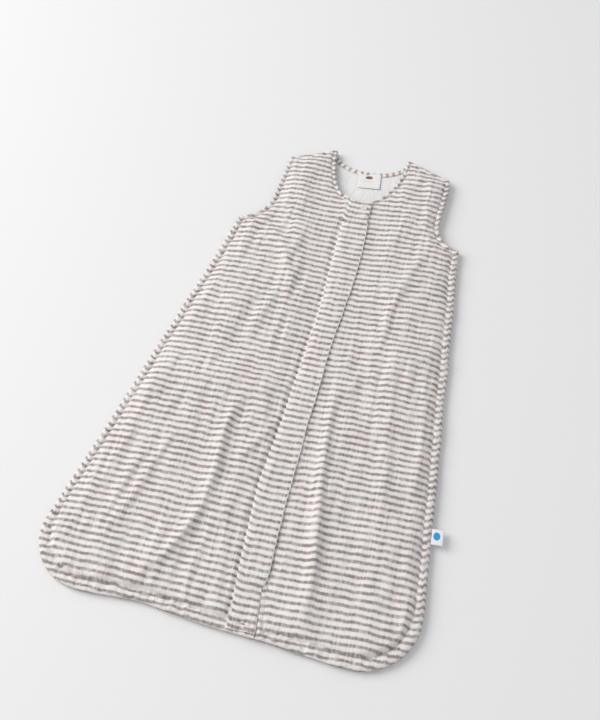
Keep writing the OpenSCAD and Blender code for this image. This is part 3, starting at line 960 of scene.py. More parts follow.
def placket_middle(y, share):
    """Middle surface of the placket, from its seam (share 0) to its free edge (share 1)."""
    seam = curve_at(y, PLACKET_SEAM)
    free = smooth((y - SEAM_TOP + 4) / 30)
    edge = curve_at(y, PLACKET_EDGE) * free + seam_x(y) * (1 - free)
    ripple = 0.5 * wobble(y, 14, 51) + 0.3 * wobble(y, 5, 52)
    ripple = ripple + PLACKET_SWAY * wobble(y, 48, 59)
    edge = edge + ripple * smooth(share * 1.5) * free
    x = seam + 0.5 + (edge - seam - 0.5) * share
    past = x - seam
    beside = np.minimum(left_surface(seam - 5, y), 17.2) - 0.6
    level = beside + (PLACKET_Z - beside) * smooth(past / PLACKET_CLIMB)
    soft = 0.35 * noise(x, y, (9, 24), 54) + 0.3 * noise(x, y, (4, 50), 55)
    lift = 0.35 * wobble(y, 28, 56) * smooth((past - 12) / 15) * free
    sewn_down = left_surface(np.minimum(x, seam_x(y) - 4.5), y) + 0.3
    sewn_down = sewn_down - 1.3 * smooth((x - seam_x(y) + 3) / 3)
    level = level * free + sewn_down * (1 - free)
    sunk = PLACKET_SUNK * (1 - smooth(past / 3.2))
    return np.stack([x, y, level - sunk + seam_drawn(y, past) + soft * smooth(past / 5) + lift], -1)


def placket_pattern(x, y):
    """The placket's stripes: they leave the seam in step with the front's and slant down beside it."""
    past = np.clip(x - curve_at(y, PLACKET_SEAM), 0, None)
    return stripe_map(x, y) + np.stack([0 * x, PLACKET_SHIFT * (1 - np.exp(-past / 3.2))], -1)


def build_placket(material, under):
    """The doubled strip over the zip: sewn to the left front along its seam and down to the hem."""
    y = np.concatenate([np.arange(2.5, TAB_BOTTOM, 1.5), [TAB_BOTTOM + 0.3]])
    share = np.concatenate([np.linspace(0, 0.9, 36), [0.93, 0.955, 0.972, 0.987, 1]])
    middle = placket_middle(*np.meshgrid(y, share, indexing="ij"))
    pattern = placket_pattern(middle[..., 0], middle[..., 1])
    # Two pale columns at the free edge are a painted highlight on its fold.
    return slab("placket_cloth", middle, PLACKET_T / 2, pattern, material, under, shown=2)


def placket_line(offset):
    """A line of stitches along the placket's seam, a little to its free side."""
    y = np.arange(SEAM_TOP + 2, TAB_BOTTOM - 1, 1.0)
    width = curve_at(y, PLACKET_EDGE) - curve_at(y, PLACKET_SEAM)
    line = placket_middle(y, offset / width)
    line[:, 2] += PLACKET_T / 2 - 0.15
    return line


def placket_bar(y):
    """A row of stitches across the placket."""
    share = np.linspace(0.03, 0.97, 60)
    line = placket_middle(y + 0 * share, share)
    line[:, 2] += PLACKET_T / 2 - 0.1
    return line


def tab_top(x):
    """Height of the tab's top edge, which follows the neckline and rounds off at its free corner."""
    line = neck_y(np.clip(np.abs(x), 0, 40), NECK_FRONT) + 0.3
    corner = np.clip((x - 11) / 8, 0, 1)
    return line - 5.5 * (1 - np.sqrt(1 - corner**2))


def build_tab(material, under):
    """The short flap above the zip that the snap closes."""
    edge = float(curve_at(TAB_BOTTOM + 20, PLACKET_EDGE)) - 0.4
    across = np.linspace(TAB_LEFT + 1.4, edge - 1, 40)
    across = np.concatenate([[TAB_LEFT, TAB_LEFT + 0.5], across, [edge - 0.4, edge]])
    share = np.concatenate([[0, 0.012, 0.03], np.linspace(0.06, 0.94, 34), [0.97, 0.988, 1]])
    x, rise = np.meshgrid(across, share, indexing="xy")
    y = TAB_BOTTOM + 0.6 + (tab_top(x) - TAB_BOTTOM - 0.6) * rise
    past = x - curve_at(y, PLACKET_SEAM)
    level = np.interp(x, [TAB_LEFT, -16, 0, edge], [13.9, 15.1, PLACKET_Z, PLACKET_Z - 0.1])
    groove = 0.8 * hump(past, 1.6) + 0.55 * hump(y - TAB_ROW, 1.3) * (past > 0)
    at_top = 0.5 * hump(tab_top(x) - y - 4, 1.3)
    drawn = 1.1 * noise(x, y, (3.4, 12), 57) * hump(y - TAB_ROW, 5)
    soft = 0.3 * noise(x, y, (9, 20), 58)
    near_snap = smooth(np.hypot(x - SNAP_AT[0], y - SNAP_AT[1]) / 7)
    middle = np.stack([x, y, level - groove - at_top + (drawn + soft) * near_snap], -1)
    pattern = np.where((past > 0)[..., None], placket_pattern(x, y), stripe_map(x, y))
    # One pale column at the tab's free edge is a painted highlight on its fold.
    return slab("tab_cloth", middle, PLACKET_T / 2, pattern, material, under, shown=1)


snap_low, snap_high = cad_box("snap_cap")
SNAP_AT = tuple((snap_low + snap_high)[:2] / 2)


# ---- zip ----

FACING_REACH = (5.4, 12)  # a facing's edges, from the zip's middle
FACING_Z = 11.15
PLATE_T = 0.6           # thickness of the slider's plates
SLIDER_TALL = 3.2       # from the bottom of the lower plate to the top of the upper one
CROWN_R = 1.95          # half the length of the crown that holds the pull
CROWN_HALF = (0.85, 0.28)
PULL_NECK = 7.5         # length of the pull tab's upper part, with the window for the crown
PULL_HALF_T = 0.45
TOOTH_PITCH = 2.1
# A tooth's cross-sections from its root: distance from the zip's middle, half width and height.
TOOTH_SHAPE = [(3.3, 0.55, 0.8), (2.2, 0.5, 1), (1.5, 0.34, 0.9), (0.9, 0.62, 1), (0.2, 0.6, 0.95)]
TOOTH_SHAPE += [(-0.35, 0.3, 0.6)]


def build_tape(side, word, material):
    """One of the zip's two woven tapes."""
    low, high = cad_box(f"zip_tape_{word}_upper")
    bottom = cad_box(f"zip_tape_{word}_lower")[0][1]
    inner, outer = sorted((abs(low[0]), abs(high[0])))
    across = np.concatenate([[inner], np.linspace(inner + 0.4, outer - 0.4, 8), [outer]])[::side]
    y, reach = np.meshgrid(np.arange(bottom, high[1] + 1, 3.0), across, indexing="ij")
    bead = 0.22 * hump(reach - inner - 1, 0.7)
    z = (low[2] + high[2]) / 2 + 0.1 * noise(reach, y, (7, 16), 71) + bead
    return side_strip(f"zip_tape_{word}", side, reach, y, z, (high[2] - low[2]) / 2, material)


def build_teeth(side, word, material):
    """One row of moulded teeth: each a root on the tape, a neck and a head that locks past the middle."""
    low, high = cad_box(f"zip_teeth_{word}_upper")
    bottom = cad_box(f"zip_teeth_{word}_lower")[0][1]
    z, half_z = (low[2] + high[2]) / 2, (high[2] - low[2]) / 2
    turn = np.arange(8) * math.pi / 4 + math.pi / 8
    start = bottom + 1 + (TOOTH_PITCH / 2 if side > 0 else 0)
    points, faces = [], []
    for y in np.arange(start, high[1] - 1, TOOTH_PITCH):
        tooth = tube_faces(len(points), len(turn), len(TOOTH_SHAPE))
        faces += tooth if side < 0 else [face[::-1] for face in tooth]
        for reach, half_y, tall in TOOTH_SHAPE:
            half_tall = half_z * tall
            points += [(side * reach, y + half_y * math.cos(a), z + half_tall * math.sin(a)) for a in turn]
    return add_mesh(f"zip_teeth_{word}", points, faces, None, material)


def build_facing(side, word, material):
    """The narrow facing between a front's edge and the zip's tape."""
    low, high = cad_box(f"facing_{word}")
    across = np.linspace(*FACING_REACH, 7)[::side]
    y, reach = np.meshgrid(np.arange(low[1], high[1], 3.0), across, indexing="ij")
    z = FACING_Z + 0.1 * noise(reach, y, (5, 12), 73)
    return side_strip(f"facing_{word}_strip", side, reach, y, z, 0.2, material)


def build_slider(material):
    """The slider: two shaped plates, the wedge between them, lips round the tapes and the crown."""
    low, high = cad_box("slider_body")
    middle, half = (low + high) / 2, (high - low) / 2
    bottom, top, crown = low[2], low[2] + SLIDER_TALL, high[2]
    parts = []
    for z0, z1 in ((bottom, bottom + PLATE_T), (top - PLATE_T, top)):
        rings = []
        for inset, z in ((0.25, z0), (0, z0 + 0.2), (0, z1 - 0.2), (0.25, z1)):
            ring = outline(middle, half[:2] - inset, z, corner=4, count=48)
            ring[:, 0] *= 1 - 0.16 * smooth((middle[1] + 1 - ring[:, 1]) / half[1])
            rings.append(ring)
        parts.append(loft("plate", rings, material))
    post_low = np.array([-0.35, middle[1] + 1, bottom + 0.3])
    parts.append(pebble("post", post_low, np.array([0.35, high[1] - 0.6, top - 0.3]), material, bevel=0.1))
    for side in (-1, 1):
        x = sorted((side * (half[0] - 1.1), side * (half[0] - 0.5)))
        for z0, z1 in ((bottom + 0.3, bottom + 1.2), (top - 1.2, top - 0.3)):
            lip = np.array([[x[0], low[1] + 1.2, z0], [x[1], middle[1] + 1, z1]])
            parts.append(pebble("lip", *lip, material, bevel=0.12))
    arch = []
    turn = np.arange(12) * math.pi / 6
    for a in np.linspace(0, math.pi, 17):
        rise = (crown - 0.3 - top) * math.sin(a) ** 0.5
        centre = np.array([0, middle[1] + CROWN_R * math.cos(a), top - 0.05 + rise])
        out = np.array([0, math.cos(a), math.sin(a)])
        wide = CROWN_HALF[0] * np.array([1, 0, 0])
        arch.append([centre + wide * math.cos(t) + CROWN_HALF[1] * math.sin(t) * out for t in turn])
    parts.append(loft("crown", arch, material))
    return joined("zip_slider", parts)


def build_pull(material):
    """The pull tab: a plate with a window at the crown, a raised rim and a small hole at its free end."""
    low, high = cad_box("pull_tab")
    half_x, z = (high[0] - low[0]) / 2, high[2] - (high[2] - low[2]) / 2
    neck = high[1] - PULL_NECK
    parts = []
    for bottom, top, gap_y, gap in (
        (neck, high[1], high[1] - 3.3, (1.6, 2.4)),
        (low[1], neck + 0.8, low[1] + 3, (1.2, 1.2)),
    ):
        size, rings = (half_x, (top - bottom) / 2), []
        for grow, rise in ((-0.3, -1), (0, -0.4), (0, 0.4), (-0.3, 1)):
            plate = (size[0] + grow, size[1] + grow)
            rings.append(outline((0, (bottom + top) / 2), plate, z + PULL_HALF_T * rise, 4, 48))
        for grow, rise in ((0.2, 1), (0, 0.5), (0, -0.5), (0.2, -1)):
            rings.append(outline((0, gap_y), (gap[0] + grow, gap[1] + grow), z + PULL_HALF_T * rise, 2.5, 48))
        parts.append(loft("plate", rings, material, closed=True))
    return joined("zip_pull", parts)


def ring_profile(outer, inner, low_z, high_z, bead=0.25):
    """A flat ring's cross-section with soft corners, as (radius, z) going round."""
    rim = [(inner, bead), (inner + bead, 0), (outer - bead, 0), (outer, bead)]
    lower = [(r, low_z + rise) for r, rise in rim]
    return lower + [(r, high_z - rise) for r, rise in rim[::-1]]


# ---- labels ----

NECK_LABEL_TURN = math.radians(5)
NECK_LABEL_Z = 4.1


def build_neck_label(material):
    """A woven label sewn by its top edge inside the back of the neck."""
    low, high = cad_box("neck_label")
    centre, half = (low + high) / 2, (high - low) / 2
    u, v = np.meshgrid(np.linspace(-1, 1, 25), np.linspace(-1, 1, 23), indexing="ij")
    c, s = math.cos(NECK_LABEL_TURN), math.sin(NECK_LABEL_TURN)
    across, up = half[0] * 0.97 * u, half[1] * 0.93 * v
    x, y = centre[0] + c * across - s * up, centre[1] + s * across + c * up
    curl = 0.5 * np.clip(-v, 0, 1) ** 2 + 0.5 * np.clip(u * -v, 0, 1) ** 2
    z = NECK_LABEL_Z + curl + 0.25 * noise(x, y, (14, 9), 81)
    return slab("neck_label_ribbon", np.stack([x, y, z], -1), 0.2, np.stack([across, up], -1), material)


FLAG_CUT = 31           # length of the flag's ribbon before it is folded
FLAG_REACH = 15.0       # how far the folded ribbon stands out


def build_flag(material):
    """A folded ribbon caught in the side seam: out from the seam, round a loop and back."""
    low, high = cad_box("flag_label")
    s = np.linspace(-1, 1, 41)
    y, s = np.meshgrid(np.linspace(low[1], high[1], 19), s, indexing="ij")
    reach = FLAG_REACH * np.clip(1.04 - np.abs(s), 0, 1)
    apart = 1.15 * np.tanh(3 * s) * (1 - 0.5 * np.abs(s))
    up = y - low[1]
    x = low[0] - 1.5 + reach - 0.07 * up
    bow = 0.4 * noise(x, y, (8, 11), 83) + 0.9 * (reach / FLAG_REACH) ** 2
    z = (low[2] + high[2]) / 2 + 1.6 - apart + bow + 0.18 * up / (high[1] - low[1])
    flat = np.stack([FLAG_REACH * s, up], -1)
    return slab("flag_ribbon", np.stack([x, y, z], -1), 0.17, flat, material)


# ---- materials ----


class Shade:
    """A material's node tree, with short ways to add the nodes that the cloths and metals share."""

    def __init__(self, name, roughness=0.9, **settings):
        self.material = bpy.data.materials.new(name)
        self.material.use_nodes = True
        self.tree = self.material.node_tree
        self.shader = self.tree.nodes["Principled BSDF"]
        self.shader.inputs["Roughness"].default_value = roughness
        for key, value in settings.items():
            self.shader.inputs[key.replace("_", " ")].default_value = value

    def add(self, kind, *values, **settings):
        """A node of that kind, with values or other nodes' outputs on its first inputs."""
        node = self.tree.nodes.new("ShaderNode" + kind)
        for key, value in settings.items():
            setattr(node, key, value)
        for socket, value in zip(node.inputs, values):
            self.give(socket, value)
        return node

    def give(self, socket, value):
        if isinstance(value, bpy.types.NodeSocket):
            self.tree.links.new(value, socket)
        elif value is not None:
            socket.default_value = value

    def math(self, what, a, b=None, c=None):
        return self.add("Math", a, b, c, operation=what).outputs[0]

    def place(self, uv=True):
        """The cloth's own coordinates, in metres."""
        if uv:
            return self.add("UVMap", uv_map="cloth").outputs[0]
        return self.add("TexCoord").outputs["Object"]

    def noise(self, place, size, detail=2.0, rough=0.5):
        """Noise from 0 to 1 with lumps of the given size in millimetres along each axis."""
        scale = tuple(1 / (s * MM) for s in size)
        moved = self.add("VectorMath", place, scale, operation="MULTIPLY").outputs[0]
        node = self.add("TexNoise")
        self.give(node.inputs["Vector"], moved)
        self.give(node.inputs["Scale"], 1.0)
        self.give(node.inputs["Detail"], detail)
        self.give(node.inputs["Roughness"], rough)
        return node.outputs[0]

    def step(self, value, low, high, to=(0, 1)):
        """A soft step between two values of the input, to two values of the output."""
        node = self.add("MapRange", interpolation_type="SMOOTHSTEP")
        for name, x in zip(("Value", "From Min", "From Max", "To Min", "To Max"), (value, low, high, *to)):
            self.give(node.inputs[name], x)
        return node.outputs[0]

    def split(self, place):
        return self.add("SeparateXYZ", place).outputs

    def mix(self, share, a, b):
        node = self.add("Mix", data_type="RGBA")
        self.give(node.inputs["Factor"], share)
        self.give(node.inputs["A"], a)
        self.give(node.inputs["B"], b)
        return node.outputs["Result"]

    def colour(self, value):
        self.give(self.shader.inputs["Base Color"], value)

    def bump(self, height, depth, under=None):
        """A bump whose full height is depth in millimetres."""
        node = self.add("Bump")
        self.give(node.inputs["Strength"], 1.0)
        self.give(node.inputs["Distance"], depth * MM)
        self.give(node.inputs["Height"], height)
        self.give(node.inputs["Normal"], under)
        self.give(self.shader.inputs["Normal"], node.outputs[0])
        return node.outputs[0]


def weave(shade, place, pitch=0.55):
    """Height of an open plain weave, 0 to 1, with uneven threads."""
    uneven = shade.noise(place, (3, 3, 3), 2)
    split = shade.split(place)
    waves = []
    for axis in (0, 1):
        turns = shade.math("MULTIPLY", split[axis], 2 * math.pi / (pitch * MM))
        shifted = shade.math("ADD", turns, shade.math("MULTIPLY", uneven, 7.0))
        waves.append(shade.math("SINE", shifted))
    crossed = shade.math("MULTIPLY", *waves)
    return shade.math("MULTIPLY_ADD", crossed, 0.5, 0.5)


def muslin(name):
    """Striped double muslin: soft-edged taupe stripes on off-white, uneven from thread to thread."""
    shade = Shade(name, 0.93, Sheen_Weight=0.18, Sheen_Roughness=0.6, Specular_IOR_Level=0.2)
    place = shade.place()
    y = shade.split(place)[1]
    wander = shade.noise(place, (9, 60, 9), 2)
    small = shade.noise(place, (2.6, 8, 3), 1)
    moved = shade.math("MULTIPLY_ADD", wander, 2.8 * MM, y)
    moved = shade.math("MULTIPLY_ADD", small, 0.4 * MM, moved)
    turns = shade.math("MULTIPLY", moved, 2 * math.pi / (STRIPE_PITCH * MM))
    wave = shade.math("COSINE", turns)
    breadth = shade.noise(place, (30, 5, 9), 2)
    wave = shade.math("ADD", wave, shade.math("MULTIPLY_ADD", breadth, 0.9, -0.45))
    stripe = shade.step(wave, -0.55, 0.92)
    threads = shade.noise(place, (5, 0.55, 2), 2)
    warp = shade.noise(place, (0.9, 7, 2), 2)
    blotch = shade.noise(place, (14, 9, 5), 2)
    far = shade.noise(place, (60, 45, 20), 2)
    uneven = shade.math("ADD", shade.math("MULTIPLY", threads, 0.28), shade.math("MULTIPLY", warp, 0.3))
    uneven = shade.math("ADD", uneven, shade.math("MULTIPLY", blotch, 0.6))
    streak = shade.noise(place, (4.4, 60, 9), 2)
    uneven = shade.math("MULTIPLY_ADD", streak, 0.75, uneven)
    depth = shade.step(uneven, 0.70, 1.14, (0.45, 1.0))
    stripe = shade.math("MULTIPLY", stripe, depth)
    warm = shade.step(far, 0.36, 0.64)
    tint = shade.step(shade.noise(place, (34, 14, 9), 3), 0.38, 0.62)
    dark = shade.mix(warm, (0.262, 0.222, 0.200, 1), (0.265, 0.243, 0.216, 1))
    dark = shade.mix(shade.math("MULTIPLY", tint, 0.5), dark, (0.290, 0.222, 0.196, 1))
    pale = shade.mix(warm, (0.89, 0.845, 0.825, 1), (0.88, 0.858, 0.836, 1))
    pale = shade.mix(shade.math("MULTIPLY", tint, 0.5), pale, (0.88, 0.80, 0.785, 1))
    pale = shade.mix(shade.step(warp, 0.35, 0.8, (0, 0.2)), pale, (0.66, 0.64, 0.62, 1))
    pale = shade.mix(shade.step(streak, 0.45, 0.7, (0, 0.3)), pale, (0.66, 0.62, 0.60, 1))
    shade.colour(shade.mix(stripe, pale, dark))
    crepe = shade.noise(place, (2.1, 9, 3), 3, 0.6)
    under = shade.bump(crepe, 1.1)
    shade.bump(weave(shade, place), 0.09, under)
    return shade.material


def white_muslin():
    """The white lining: the same gauze with no stripes."""
    shade = Shade("white_muslin", 0.93, Sheen_Weight=0.2, Sheen_Roughness=0.6, Specular_IOR_Level=0.2)
    place = shade.place()
    tone = shade.noise(place, (9, 30, 9), 3)
    shade.colour(shade.mix(tone, (0.80, 0.80, 0.80, 1), (0.90, 0.895, 0.885, 1)))
    under = shade.bump(shade.noise(place, (2.2, 8, 3), 3, 0.6), 1.0)
    shade.bump(weave(shade, place), 0.1, under)
    return shade.material


def tape_material():
    """The zip's tape: a fine twill."""
    shade = Shade("woven_tape", 0.8, Sheen_Weight=0.15, Specular_IOR_Level=0.3)
    place = shade.place()
    split = shade.split(place)
    slant = shade.math("MULTIPLY_ADD", split[0], 0.8, split[1])
    rib = shade.math("SINE", shade.math("MULTIPLY", slant, 2 * math.pi / (1.1 * MM)))
    tone = shade.noise(place, (2, 14, 4), 2)
    shade.colour(shade.mix(tone, (0.70, 0.68, 0.65, 1), (0.80, 0.785, 0.76, 1)))
    shade.bump(shade.math("ADD", rib, shade.noise(place, (0.4, 0.4, 0.4), 1)), 0.06)
    return shade.material


def hard_material(name, low, high, roughness, metallic=0.0, grain=(1.2, 1.2, 1.2), depth=0.02):
    """Metal or moulded plastic with a slightly uneven colour, gloss and surface."""
    shade = Shade(name, roughness, Metallic=metallic)
    place = shade.place(uv=False)
    lumps = shade.noise(place, grain, 3)
    shade.colour(shade.mix(shade.step(lumps, 0.3, 0.7), (*low, 1), (*high, 1)))
    worn = shade.step(shade.noise(place, (3, 3, 3), 3), 0.3, 0.7, (roughness - 0.06, roughness + 0.1))
    shade.give(shade.shader.inputs["Roughness"], worn)
    shade.bump(lumps, depth)
    return shade.material


def thread_material():
    """Sewing thread, uneven in tone."""
    shade = Shade("thread", 0.7, Sheen_Weight=0.3)
    place = shade.place(uv=False)
    tone = shade.noise(place, (0.5, 0.5, 0.5), 2)
    shade.colour(shade.mix(tone, (0.62, 0.60, 0.57, 1), (0.84, 0.83, 0.80, 1)))
    shade.bump(tone, 0.08)
    return shade.material


def oval(shade, split, centre, half, soft=0.12):
    """1 inside an oval on the cloth's own coordinates, in millimetres, and 0 outside."""
    parts = []
    for axis in (0, 1):
        gap = shade.math("SUBTRACT", split[axis], centre[axis] * MM)
        share = shade.math("ABSOLUTE", shade.math("DIVIDE", gap, half[axis] * MM))
        parts.append(shade.math("POWER", share, 2.0))
    return shade.step(shade.math("ADD", *parts), 1 + soft, 1 - soft)


def label_material(name, base, marks):
    """Woven ribbon with plain shapes on it: marks are (centre, half size, colour) ovals."""
    shade = Shade(name, 0.75, Sheen_Weight=0.2)
    place = shade.place()
    split = shade.split(place)
    tone = shade.noise(place, (3, 0.5, 1), 2)
    colour = shade.mix(shade.math("MULTIPLY", tone, 0.2), (*base, 1), (0.55, 0.54, 0.52, 1))
    for centre, half, ink in marks:
        colour = shade.mix(oval(shade, split, centre, half), colour, (*ink, 1))
    shade.colour(colour)
    shade.bump(weave(shade, place, 0.35), 0.05)
    return shade.material


# ---- camera, light and floor ----

CAMERA_AT = (196.9, -314.8, 1221.6)
CAMERA_AZIMUTH, CAMERA_ELEVATION, CAMERA_ROLL = map(math.radians, (-17.79, 59.18, -5.0))
LENS = 52.85
FLOOR_HALF = 8
FLOOR_TONE = 0.82


def make_camera():
    """The camera at the photo's angle."""
    camera = linked("camera", bpy.data.cameras.new("camera"))
    level = math.cos(CAMERA_ELEVATION)
    ahead = (math.sin(CAMERA_AZIMUTH) * level, math.cos(CAMERA_AZIMUTH) * level, -math.sin(CAMERA_ELEVATION))
    forward = Vector(ahead)
    right = Vector((math.cos(CAMERA_AZIMUTH), -math.sin(CAMERA_AZIMUTH), 0))
    rolled = right * math.cos(CAMERA_ROLL) + right.cross(forward) * math.sin(CAMERA_ROLL)
    rotation = Matrix((rolled, rolled.cross(forward), -forward)).transposed()
    camera.matrix_world = Matrix.Translation(Vector(placed([CAMERA_AT])[0])) @ rotation.to_4x4()
    camera.data.lens = LENS
    bpy.context.scene.camera = camera


def add_light(name, at, size, power, colour):
    """A round area light that points at the frame's origin."""
    data = bpy.data.lights.new(name, "AREA")
    data.shape, data.size, data.energy, data.color = "DISK", size, power, colour
    light = linked(name, data)
    light.location = at
    light.rotation_euler = (-Vector(at)).to_track_quat("-Z", "Y").to_euler()


def make_stage():
    """A plain pale floor, a window's light from the left and a weak fill."""
    shade = Shade("floor", 0.7)
    shade.shader.inputs["Base Color"].default_value = (FLOOR_TONE, FLOOR_TONE, FLOOR_TONE, 1)
    floor = square("floor", FLOOR_HALF, 0)
    floor.data.materials.append(shade.material)
    floor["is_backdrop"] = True
    world = bpy.data.worlds.new("studio")
    bpy.context.scene.world = world
    world.use_nodes = True
    sky = world.node_tree.nodes["Background"].inputs
    sky["Color"].default_value = (0.96, 0.97, 1, 1)
    sky["Strength"].default_value = 0.54
    add_light("window", (-3.0, 0.4, 2.5), 3.2, 122, (1, 0.985, 0.965))
    add_light("fill", (1.8, -1.0, 2.8), 2.8, 9, (0.98, 0.985, 1))
    bpy.context.scene.view_settings.view_transform = "Standard"


# ---- how pieces move ----


def bend(piece, inner, outer, start, end):
    """Bakes a piece's placement into its mesh; inner, outer, start and end are not used."""
    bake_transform(piece)


def follow_front(piece, side, word):
    """Works out where a piece would bend at its front's fold line, and bakes its placement into its mesh."""
    toward_zip = np.array([-side, FOLD_SLOPE]) / math.hypot(1, FOLD_SLOPE)
    start, end = (np.array([0, FOLD_APEX]) + toward_zip * far for far in FOLD_BEND)
    bend(piece, "root", f"front_{word}", start, end)


PLACKET_EARLY = 0.068   # how much sooner the placket bends, per mm from its seam, so it clears the pull
PLACKET_SEWN_X = -19.5  # where the placket's seam runs beside the opening


def follow_placket(piece):
    """Works out where a piece would bend along the placket's seam, sooner the nearer the zip, and bakes its
    placement.
    """
    toward_zip = np.array([1, FOLD_SLOPE]) / math.hypot(1, FOLD_SLOPE)
    start = np.array([0, FOLD_APEX]) + toward_zip * FOLD_BEND[0]
    steepness = toward_zip / (FOLD_BEND[1] - FOLD_BEND[0]) + [PLACKET_EARLY, 0]
    run = steepness / (steepness @ steepness)
    start = start - PLACKET_EARLY * (start[0] - PLACKET_SEWN_X) * run
    bend(piece, "root", "front_left", start, start + run)


def kept(piece, slot, *nodes, body=None):
    """Hides the CAD nodes that a piece stands for and attaches it to the body it rides on.
    slot, the piece's finish, is not used.
    """
    if nodes:
        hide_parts(*nodes)
    if body is not None:
        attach(piece, body)
    return piece


def laid_sheet(cut):
    """Works out the width, length and flat area of a cloth's cut, and keeps nothing."""
    (width, length), area = cut.size()


# ---- everything put together ----

make_camera()
make_stage()

striped, lining = muslin("striped_muslin"), white_muslin()
tape, thread = tape_material(), thread_material()
tooth_plastic = hard_material("tooth_plastic", (0.60, 0.59, 0.57), (0.70, 0.69, 0.67), 0.35)
slider_metal = hard_material("slider_metal", (0.48, 0.47, 0.45), (0.60, 0.59, 0.57), 0.32, metallic=1.0)
snap_metal = hard_material("snap_metal", (0.72, 0.72, 0.71), (0.80, 0.80, 0.79), 0.3, metallic=0.85)
cap_enamel = hard_material("cap_enamel", (0.66, 0.655, 0.64), (0.76, 0.755, 0.74), 0.28)
label_marks = [((-1, 6), (5.5, 2.9), (0.20, 0.115, 0.075))]
label_marks += [((-9 + 2.6 * i, -1.2), (0.9, 0.45), (0.42, 0.38, 0.34)) for i in range(7)]
neck_ribbon = label_material("neck_ribbon", (0.86, 0.845, 0.83), label_marks)
flag_marks = [((x, 11), (4.2, 5.2), (0.02, 0.30, 0.62)) for x in (-8.5, 8.5)]
flag_ribbon = label_material("flag_ribbon", (0.86, 0.87, 0.88), flag_marks)

# Edges turned over, as (distance in from the edge, height against it), outermost first.
OPEN_EDGE = [(0.5, -1.0), (1.8, -1.7), (4, -1.9)]
BACK_EDGE = [(0.5, 0.4), (1.8, 0.5)]
SEAMS = ("hem", "side", "armhole", "neck")

back = back_cut()
back_cloth = build_cloth("back_cloth", back, back_height, BACK_EDGE, striped, woven)
kept(back_cloth, "muslin", "back_panel", body="root")
inside_back = lining_height("back", 41)
back_lining = build_cloth("back_lining_cloth", back, inside_back, [], lining, unwoven, LINING_RINGS)
kept(back_lining, "lining", "back_lining", body="root")
back_thread = stitches("back_topstitch", seam_lines(back, back_height, SEAMS), thread)
kept(back_thread, "muslin_edge", body="root")
laid_sheet(back)
laid_sheet(back)

# Strips inside the edges: the start of the name of the CAD node that each stands for, and its
# section as (distance in from the edge, height against the front's outermost line).
BOUND = [(0.6, -0.9), (1.2, -1.9), (3, -2.3), (6, -2.2), (9, -1.6)]
SEWN = [(0.9, -0.4), (3, 0.3), (6, 1.0), (9, 1.6)]
EDGE_STRIPS = {
    "armhole": ("armhole_binding", BOUND),
    "neck": ("neck_binding", BOUND),
    "side": ("side_seam", SEWN),
    "shoulder": ("shoulder_seam", SEWN),
}
inside_front = lining_height("front", 43)
for side, word in ((-1, "left"), (1, "right")):
    cut = front_cut(side)
    cloth = build_cloth(f"front_{word}_cloth", cut, front_height, OPEN_EDGE, striped, woven)
    kept(cloth, "muslin", f"front_{word}_panel", f"lapel_{word}")
    inner = build_cloth(f"front_{word}_lining_cloth", cut, inside_front, [], lining, unwoven, LINING_RINGS)
    kept(inner, "lining", f"front_{word}_lining", f"lapel_{word}_lining")
    sewn = stitches(f"front_{word}_topstitch", seam_lines(cut, front_height, (*SEAMS, "centre")), thread)
    kept(sewn, "muslin_edge")
    web = build_tape(side, word, tape)
    kept(web, "zip_tape", f"zip_tape_{word}_lower", f"zip_tape_{word}_upper")
    teeth = build_teeth(side, word, tooth_plastic)
    kept(teeth, "zip_teeth", f"zip_teeth_{word}_lower", f"zip_teeth_{word}_upper")
    facing = kept(build_facing(side, word, striped), "muslin_edge", f"facing_{word}")
    for piece in (cloth, inner, sewn, web, teeth, facing):
        follow_front(piece, side, word)
    laid_sheet(cut)
    laid_sheet(cut)
    stop = pebble(f"top_stop_{word}", *cad_box(f"zip_top_stop_{word}"), slider_metal)
    kept(stop, "slider_metal", f"zip_top_stop_{word}", body=f"front_{word}")
    for kind, (node, section) in EDGE_STRIPS.items():
        run = edge_runs(cut, (kind,))[0]
        levels = [(inward, cut.finish["front"][run] + rise) for inward, rise in section]
        fabric, slot = (striped, "muslin_edge") if section is BOUND else (lining, "lining")
        strip = edge_strip(f"{kind}_{word}_strip", cut, run, levels, fabric)
        kept(strip, slot, f"{node}_{word}")
        if kind == "neck":
            follow_front(strip, side, word)
        else:
            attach(strip, "root")

run = edge_runs(back, ("hem",))[0]
hem = edge_strip("hem_seam_strip", back, run, [(1.2, 5.6), (4, 6.0), (8, 6.4), (11, 6.8)], lining)
kept(hem, "lining", "hem_seam", body="root")
run = np.concatenate(edge_runs(back, ("neck",)))
levels = [(0.5, 2.9), (1.2, 3.7), (3, 4.1), (6, 4.2), (9, 3.9)]
band = edge_strip("neck_back_strip", back, run, levels, striped)
kept(band, "muslin_edge", "neck_binding_back", body="root")

placket = kept(build_placket(striped, lining), "muslin_placket", "placket_lower", "placket_upper")
follow_placket(placket)
tab = kept(build_tab(striped, lining), "muslin_placket", "placket_tab")
bend(tab, "front_left", "snap_tab", *((x, SNAP_AT[1]) for x in TAB_HINGE))
lines = [placket_line(1.8), placket_bar(57), placket_bar(85)]
placket_sewn = kept(stitches("placket_topstitch", lines, thread), "muslin_edge")
follow_placket(placket_sewn)

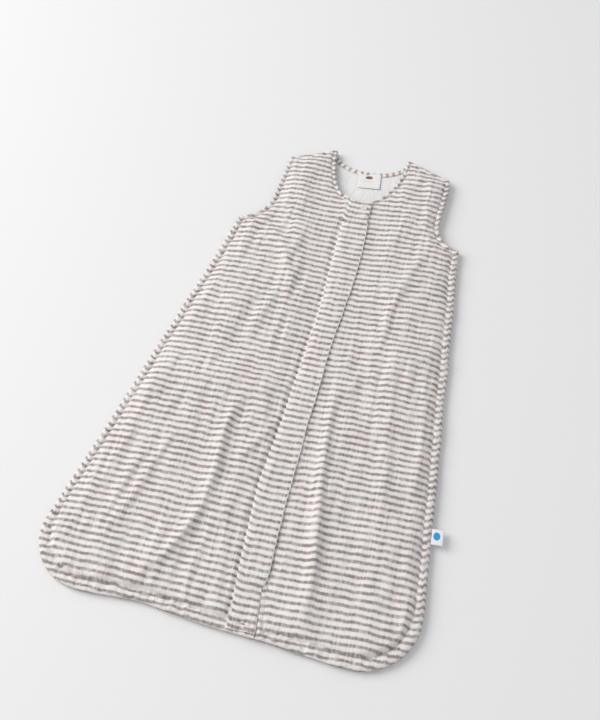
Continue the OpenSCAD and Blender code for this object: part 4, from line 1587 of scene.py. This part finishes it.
stop = pebble("bottom_stop", *cad_box("zip_bottom_stop"), slider_metal)
kept(stop, "slider_metal", "zip_bottom_stop", body="root")
kept(build_slider(slider_metal), "slider_metal", "slider_body", body="slider")
kept(build_pull(slider_metal), "slider_metal", "pull_tab", body="pull")

r, top = (snap_high[0] - snap_low[0]) / 2, snap_high[2] + 0.3
cap = [(0, 14.9), (0.7, 14.9), (0.75, top - 1.2), (r - 0.3, top - 1.3), (r, top - 1.0), (r, top - 0.6)]
cap += [(r - 0.35, top - 0.15), (r - 0.9, top), (r - 1.5, top - 0.12), (r - 1.9, top - 0.4)]
cap += [(1.2, top - 0.5), (0, top - 0.5)]
kept(turned("snap_cap_round", cap, cap_enamel), "snap", "snap_cap", body="snap_tab")
for node, snap_body, hole in (("snap_socket", "snap_tab", 2.1), ("snap_ring", "front_right", 0.9)):
    low, high = cad_box(node)
    profile = ring_profile((high[0] - low[0]) / 2, hole, low[2], high[2])
    rings = [outline(SNAP_AT, (q, q), z, corner=2, count=40) for q, z in profile]
    kept(loft(f"{node}_round", rings, snap_metal, closed=True), "snap", node, body=snap_body)
low, high = cad_box("snap_stud")
r, top = (high[0] - low[0]) / 2, high[2]
stud = [(0, low[2]), (0.7, low[2]), (0.7, top - 1.25), (r - 0.3, top - 1.3), (r, top - 1.1)]
stud += [(r - 0.3, top - 0.9), (1.75, top - 0.85), (1.5, top - 0.6), (1.75, top - 0.25), (1.2, top), (0, top)]
kept(turned("snap_stud_round", stud, snap_metal), "snap", "snap_stud", body="front_right")

neck_label = kept(build_neck_label(neck_ribbon), "neck_label", "neck_label", body="root")
flag = kept(build_flag(flag_ribbon), "flag_label", "flag_label", body="root")

# the small pieces of cloth, with the sizes that they were cut to
fronts_under = ["front_left_cloth", "front_right_cloth"]
for piece, node, cut_width, held, under in (
    (tab, "placket_tab", TAB_CUT, "laid", fronts_under),
    (neck_label, "neck_label", None, "laid", ["back_lining_cloth"]),
    (flag, "flag_label", FLAG_CUT, "folded", ["back_cloth"]),
):
    low, high = cad_box(node)

low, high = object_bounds()
